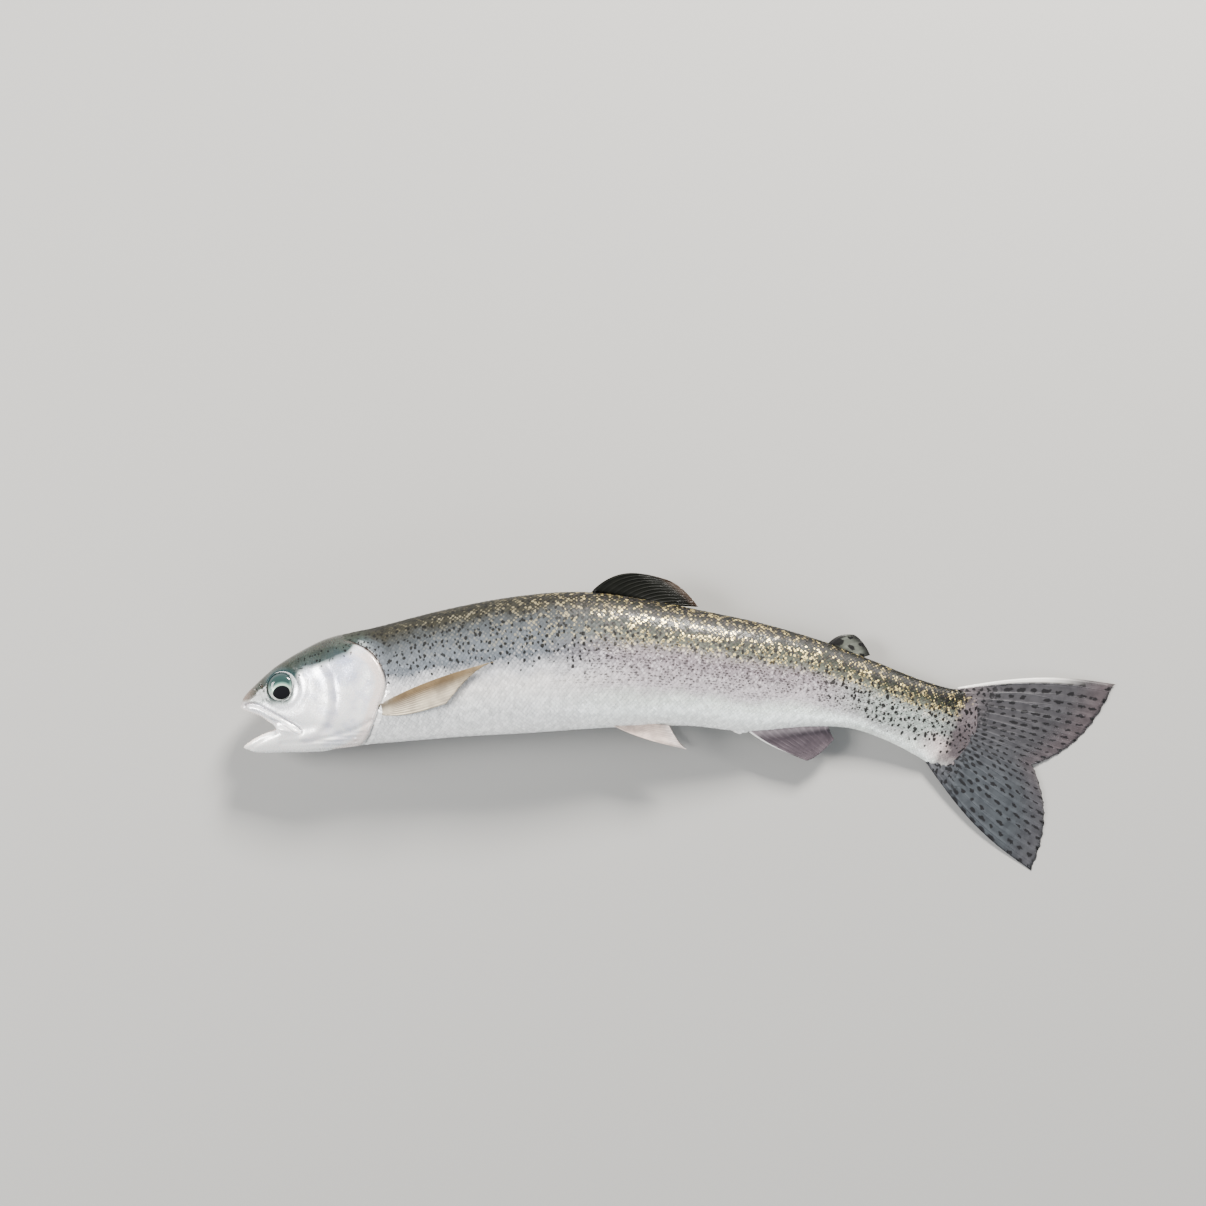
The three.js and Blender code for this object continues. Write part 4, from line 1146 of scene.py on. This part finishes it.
PECTORAL_LEFT = {"base": [(44.2, -6.6), (44.6, -8.4)], "tips": [(86, 1.4), (68, -9.4)], "bow": (1.2, -1.8)}
PECTORAL_RIGHT = {"base": [(44.8, -9.2), (45.2, -10.9)], "tips": [(85, -11.4), (66, -17.4)],
                  "bow": (-0.6, -1.4)}
PELVIC = {"base": [(119, -19.6), (125.4, -19)], "tips": [(150.2, -27.4), (142.6, -20.2)], "bow": (-1.8, -0.6)}
CAUDAL_ROOT, CAUDAL_HALF_ROOT, CAUDAL_MIDDLE, CAUDAL_FORK, CAUDAL_TIP = 234.6, 13.4, 1, 266.6, 280.6


def fin_side(fin, u, v):
    """A fin in side view: u runs from its leading ray to its last, v from its root to its edge."""
    (s0, n0), (s1, n1) = fin["base"]
    (tip_s0, tip_n0), (tip_s1, tip_n1) = fin["tips"]
    fan = u**0.9
    lift = mix(*fin["bow"], u) * np.sin(np.pi * np.clip(v, 0, 1) ** 0.8)
    s = mix(mix(s0, s1, u), mix(tip_s0, tip_s1, fan), v)
    return s, mix(mix(n0, n1, u), mix(tip_n0, tip_n1, fan**1.6), v) + lift


def side_of_body(s, n):
    """How far out the flank is at a place in the side view."""
    rise, _, half, full = section_at(body_section, s, n)
    return half * (1 - np.clip(np.abs(rise), 0, 1) ** full) ** (1 / full)


def on_middle(fin):
    """Sets a fin on the middle line of the back or the belly, with a slight wave."""
    def place(u, v):
        return *fin_side(fin, u, v), 0.22 * v * np.sin(7 * u + 3 * v)
    return place


def on_caudal(u, v):
    """The forked tail fin: w is 1 along its upper margin and -1 along its lower one."""
    w = 1 - 2 * u
    linear, cubic = np.where(w > 0, 26, 25.5), np.where(w > 0, 9.6, 6.6)
    reach = CAUDAL_TIP - (CAUDAL_TIP - CAUDAL_FORK) * (1 - np.abs(w)) ** 2
    s = mix(CAUDAL_ROOT - 1.5 * w * w, reach, v)
    n = CAUDAL_MIDDLE + mix(CAUDAL_HALF_ROOT * w, linear * w + cubic * w**3, v)
    return s, n + 3 * w * np.abs(w) * np.sin(np.pi * v), 0.25 * v * np.sin(9 * u + 2 * v)


def rooted(v):
    """How deep in the flesh a breast fin is, from its root out."""
    return ROOT_DIP * (1 - ease(0, ROOTED_V, v))


def on_pectoral_left(u, v):
    """The left breast fin is laid back along the flank."""
    s, n = fin_side(PECTORAL_LEFT, u, v)
    return s, n, side_of_body(s, n) + mix(0.55, 1.8, v * v) + 0.2 * v * np.sin(8 * u) - rooted(v)


def on_pectoral_right(u, v):
    """The right breast fin lies spread on the floor."""
    s, n = fin_side(PECTORAL_RIGHT, u, v)
    on_floor = -resting_height(s)[..., 0] + 0.45
    return s, n, mix(-side_of_body(s, n) - 0.9, on_floor, np.minimum(v * 5, 1)) + rooted(v)


def on_pelvic(side):
    """A pelvic fin of either flank."""
    tip = 3 if side > 0 else 7.5

    def place(u, v):
        return *fin_side(PELVIC, u, v), side * mix(3.6 - 1.6 * u, tip + 1.2 * u, v) + 0.15 * v * np.sin(8 * u)
    return place


def web_shell(place, rays, root_thick):
    """A closed thin shell over a fin, its edge a little scalloped between the rays."""
    across = max(rays * STEPS_TO_A_RAY, FEWEST_STEPS)
    u, v = np.meshgrid(np.linspace(0, 1, across + 1), np.linspace(0, 1, STEPS_OUT + 1) ** 0.85, indexing="ij")
    scallop = 1 - 0.01 * np.abs(np.sin(np.pi * rays * u)) - 0.006 * np.abs(np.sin(3.3 * np.pi * rays * u))
    reach = v * (scallop if rays else 1)
    middle = np.stack(np.broadcast_arrays(*place(u, reach)), -1)
    du, dv = np.gradient(middle, axis=(0, 1))
    out = np.cross(du, dv)
    out /= np.linalg.norm(out, axis=-1, keepdims=True)
    rim = EDGE_TAPER * np.minimum(np.minimum(u, 1 - u), 1 - v)
    fleshy = (1 - v) ** (7 if rays else 1.5)
    thick = mix(WEB_HALF_THICK, root_thick / 2, fleshy) * np.sqrt(np.clip(rim, 0, 1))
    front = np.arange(u.size).reshape(u.shape)
    edge = np.zeros(u.shape, bool)
    edge[[0, -1], :] = edge[:, [0, -1]] = True
    behind = np.where(edge, front, 0)
    behind[~edge] = u.size + np.arange((~edge).sum())
    sheets = [np.stack([sheet[:-1, :-1], sheet[1:, :-1], sheet[1:, 1:], sheet[:-1, 1:]], -1).reshape(-1, 4)
              for sheet in (front, behind)]
    shift = out * thick[..., None]
    shift[edge] = 0
    places = np.vstack([(middle + shift).reshape(-1, 3), (middle - shift)[~edge]])
    ray_place = np.stack([u * (rays or 3), reach, u], -1)
    faces = np.vstack([sheets[0], sheets[1][:, ::-1]])
    return places, faces, np.vstack([ray_place.reshape(-1, 3), ray_place[~edge]])


def ray_lines(rays, thick):
    """Lines along the rays, forking twice; each is a run of (u, v) with a thickness."""
    lines = []
    for ray in range(rays):
        outer = ray in (0, rays - 1)
        for start, end, branches in [(0.0, 1.0, [(0, 0)])] if outer else RAY_FORKS:
            steps = np.linspace(0, 1, 16 if outer else 8)
            v = mix(start, end, steps) * (0.992 - 0.004 * ((ray * 7) % 5))
            for from_off, to_off in branches:
                u = (ray + 0.5 + 0.8 * mix(from_off, to_off, ease(0, 0.8, steps))) / rays
                lines.append((u, v, thick * mix(1.0, RAY_TIP, v) * (MARGIN_RAY if outer else 1.0)))
    return lines


sweep_rays, given, result = new_grower("sweep_rays", {"Sides": "Int", "Finish": "Material"})
inputs = {"Geometry": given["Geometry"], "Selection": noted(sweep_rays, "is_ray", "BOOLEAN")}
threads = add_node(sweep_rays, "GeometryNodeSeparateGeometry", inputs, "Selection")
inputs = {"Resolution": given["Sides"], "Radius": MM}
round_ray = add_node(sweep_rays, "GeometryNodeCurvePrimitiveCircle", inputs, "Curve")
swept = add_node(sweep_rays, "GeometryNodeCurveToMesh", {
    "Curve": threads.into("GeometryNodeMeshToCurve", {"Mesh": threads}), "Profile Curve": round_ray,
    "Scale": noted(sweep_rays, "thick", "FLOAT"), "Fill Caps": True,
})
smooth_rays = swept.into("GeometryNodeSetShadeSmooth", {"Geometry": swept})
whole = smooth_rays.into("GeometryNodeJoinGeometry", {"Geometry": smooth_rays})
fill(whole.socket.node, {"Geometry": threads.other("Inverted")})
solid = whole.into("GeometryNodeRealizeInstances", {"Geometry": whole})
finish(solid, given["Finish"], result)

# The web's colouring: Place is (rays across, root to edge, share across); dashes lie along the rays.
DASH_BLACK, MOTTLE_GREY = (14, 13, 15), (196, 194, 197)
fin_colour, given, result = new_group(
    "ShaderNodeTree", "fin_colour",
    {"Place": "Vector", "Fish": "Vector", "Root": "Color", "Web": "Color", "Edge": "Color", "Dash": 0.0,
     "Dash Rows": 9.0, "Dash Columns": 1.3, "Dash Width": 0.17, "Dash Length": 0.3, "Root Spots": 0.0,
     "Edge Start": 0.72, "Trail": 0.0, "Trail Color": tint(228, 218, 200), "Lead": 0.0,
     "Lead Color": tint(242, 240, 236), "Opacity": 0.9},
    {"Color": "Color", "Alpha": "Float", "Line": "Float"},
)
across, out, share_across = given["Place"].parts()
colour = out.step(0.0, 0.3).blend(given["Root"], given["Web"])
colour = out.step(given["Edge Start"], 1.0).blend(colour, given["Edge"])
colour = (share_across.step(0.25, 0.85) * given["Trail"]).blend(colour, given["Trail Color"])
mottle = given["Fish"].noise(0.35, 4.0).step(0.35, 0.7)
line = (across * (2 * np.pi)).calc("COSINE").step(0.1, -1.0)
colour = colour.layered((mottle, 0.7, MOTTLE_GREY, "MULTIPLY")).brightened(line.step(0.0, 1.0, 0.88, 1.12))
# dashes in staggered rows, with ragged edges and lengths of their own
ragged = given["Fish"].noise(0.9, output="Color").vector("SUBTRACT", (0.5, 0.5, 0.5))
ragged_across, ragged_out, _ = ragged.parts()
column = across * given["Dash Columns"]
cell_column = column.calc("FLOOR")
row = out * given["Dash Rows"] + (cell_column * 0.618).calc("FRACT")
cell = add_node(fin_colour, "ShaderNodeCombineXYZ", {"X": cell_column, "Y": row.calc("FLOOR")})
drawn = cell.into("ShaderNodeTexWhiteNoise", {"Vector": cell}, "Color", noise_dimensions="2D")
drawn = drawn.into("ShaderNodeSeparateColor", {0: drawn})
dash_width = given["Dash Width"] * out.step(0.1, 0.9, 1.5, 0.68)
dash_length = given["Dash Length"] * (drawn.other(1) * 0.7 + 0.6)
dash_x = (ragged_across * 0.5 + column.calc("FRACT") - 0.5) / dash_width
dash_y = (ragged_out * 0.6 + row.calc("FRACT") - 0.5) / dash_length
dash = (dash_x * dash_x + dash_y * dash_y).step(1.35, 0.75) * (drawn < given["Dash"])
# round spots in place of the dashes near the root, and the leading margin
from_spot = ragged.vector("MULTIPLY_ADD", (3.0, 3.0, 0), given["Fish"]).cells(0.48, 0.7)
root_spot = from_spot.step(0.34, 0.27) * out.step(0.34, 0.2) * given["Root Spots"]
dash = dash * (1.0 - out.step(0.28, 0.18) * given["Root Spots"]) | root_spot
lead = across.step(0.48, 0.26) * out.step(0.85, 0.45) * given["Lead"]
fill(result, {
    "Color": lead.blend(colour.layered((dash, 0.92, DASH_BLACK)), given["Lead Color"]),
    "Alpha": given["Opacity"] - out.step(0.55, 1.0, 0.0, 0.28) | (dash | lead) * 0.9,
    "Line": line,
})


def fin_finish(name, root, web, edge, gloss=0.35, **sizes):
    """A web's material from three screen colours; any other size goes to the fin_colour input of its name."""
    material, tree, shader = new_material(name)
    inputs = {"Place": read(tree, "ray_place", "Vector"), "Fish": read(tree, "fish", "Vector")}
    inputs |= {"Root": tint(*root), "Web": tint(*web), "Edge": tint(*edge)}
    for size, value in sizes.items():
        inputs[size.replace("_", " ").title()] = tint(*value) if isinstance(value, tuple) else value
    colour = add_node(tree, "ShaderNodeGroup", inputs, "Color", node_tree=fin_colour)
    fill(shader, {
        "Base Color": colour, "Alpha": colour.other("Alpha"),
        "Normal": colour.other("Line").bump(0.35, 0.00015),
        "Roughness": 0.4, "Specular IOR Level": gloss, "Coat Weight": gloss * 0.4, "Coat Roughness": 0.1,
    })
    return material


# the pale lead along the upper lobe's leading ray is a painted highlight
tail_web = fin_finish(
    "tail_web", (88, 82, 84), (60, 59, 62), (78, 70, 73), dash=0.9, dash_rows=12.0, dash_width=0.23,
    dash_length=0.31, root_spots=1.0, lead=0.6, trail=0.55, trail_color=(58, 66, 71), opacity=0.98)
# the back fin is painted near black: its own dark grey, deepened by painted shadow
shadowed_back_web = fin_finish("shadowed_back_web", (11, 12, 10), (14, 15, 12), (56, 44, 35), opacity=1.2, gloss=0.1)
fatty_fin = fin_finish(
    "fatty_fin", (30, 33, 28), (80, 83, 77), (14, 14, 15), dash=0.9, dash_rows=2.1, dash_columns=0.9,
    dash_width=0.27, dash_length=0.32, edge_start=0.55, lead=0.95, lead_color=(12, 12, 13), opacity=1.1,
    gloss=0.15)
anal_web = fin_finish("anal_web", (170, 158, 162), (72, 64, 70), (92, 82, 88), lead=0.9, opacity=0.95)
pelvic_web = fin_finish(
    "pelvic_web", (232, 218, 208), (218, 198, 186), (230, 217, 210), lead=0.9, opacity=0.92)
breast_web = fin_finish(
    "breast_web", (94, 86, 70), (106, 88, 62), (126, 110, 84), trail=0.8, trail_color=(214, 202, 179),
    opacity=0.94)

# piece, CAD node, shape, rays, root thickness, ray thickness, finish
FINS = [
    ("tail_fin", "fin_caudal", on_caudal, 19, 1.6, 0.25, tail_web),
    ("back_fin", "fin_dorsal", on_middle(DORSAL), 12, 1.2, 0.26, shadowed_back_web),
    ("fatty_fin", "fin_adipose", on_middle(ADIPOSE), 0, 1.4, 0, fatty_fin),
    ("anal_fin", "fin_anal", on_middle(ANAL), 11, 1.2, 0.24, anal_web),
    ("pelvic_fin_left", "fin_pelvic_left", on_pelvic(1), 10, 1.0, 0.24, pelvic_web),
    ("pelvic_fin_right", "fin_pelvic_right", on_pelvic(-1), 10, 1.0, 0.24, pelvic_web),
    ("breast_fin_left", "fin_pectoral_left", on_pectoral_left, 13, 1.0, 0.24, breast_web),
    ("breast_fin_right", "fin_pectoral_right", on_pectoral_right, 13, 1.0, 0.24, breast_web),
]
for name, node, place, rays, root_thick, ray_thick, web in FINS:
    places, faces, ray_places = web_shell(place, rays, root_thick)
    lines, count = [], len(places)
    extra_places, extra_rays, extra_thick = [], [], []
    for u, v, thick in ray_lines(rays, ray_thick):
        extra_places.append(np.stack(np.broadcast_arrays(*place(u, v)), -1))
        extra_rays.append(np.stack([u * rays, v, u], -1))
        extra_thick.append(thick)
        lines += [(i, i + 1) for i in range(count, count + len(u) - 1)]
        count += len(u)
    fish_places = np.vstack([places, *extra_places])
    fin_piece = make_piece(name, laid(fish_places, FIN_CLEARANCE), faces, web)
    if rays:
        fin_piece.data.edges.add(len(lines))
        all_edges = np.zeros(len(fin_piece.data.edges) * 2, int)
        fin_piece.data.edges.foreach_get("vertices", all_edges)
        all_edges[-2 * len(lines):] = np.array(lines).ravel()
        fin_piece.data.edges.foreach_set("vertices", all_edges)
    note(fin_piece, fish=fish_places, ray_place=np.vstack([ray_places, *extra_rays]),
         thick=np.concatenate([np.zeros(len(places)), *extra_thick]))
    is_ray = np.arange(len(fish_places)) >= len(places)
    fin_piece.data.attributes.new("is_ray", "BOOLEAN", "POINT").data.foreach_set("value", is_ray)
    if rays:
        fin_piece = grown(name, fin_piece, sweep_rays, {"Sides": RAY_SIDES, "Finish": web})
    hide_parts(node)
    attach(fin_piece, "root")
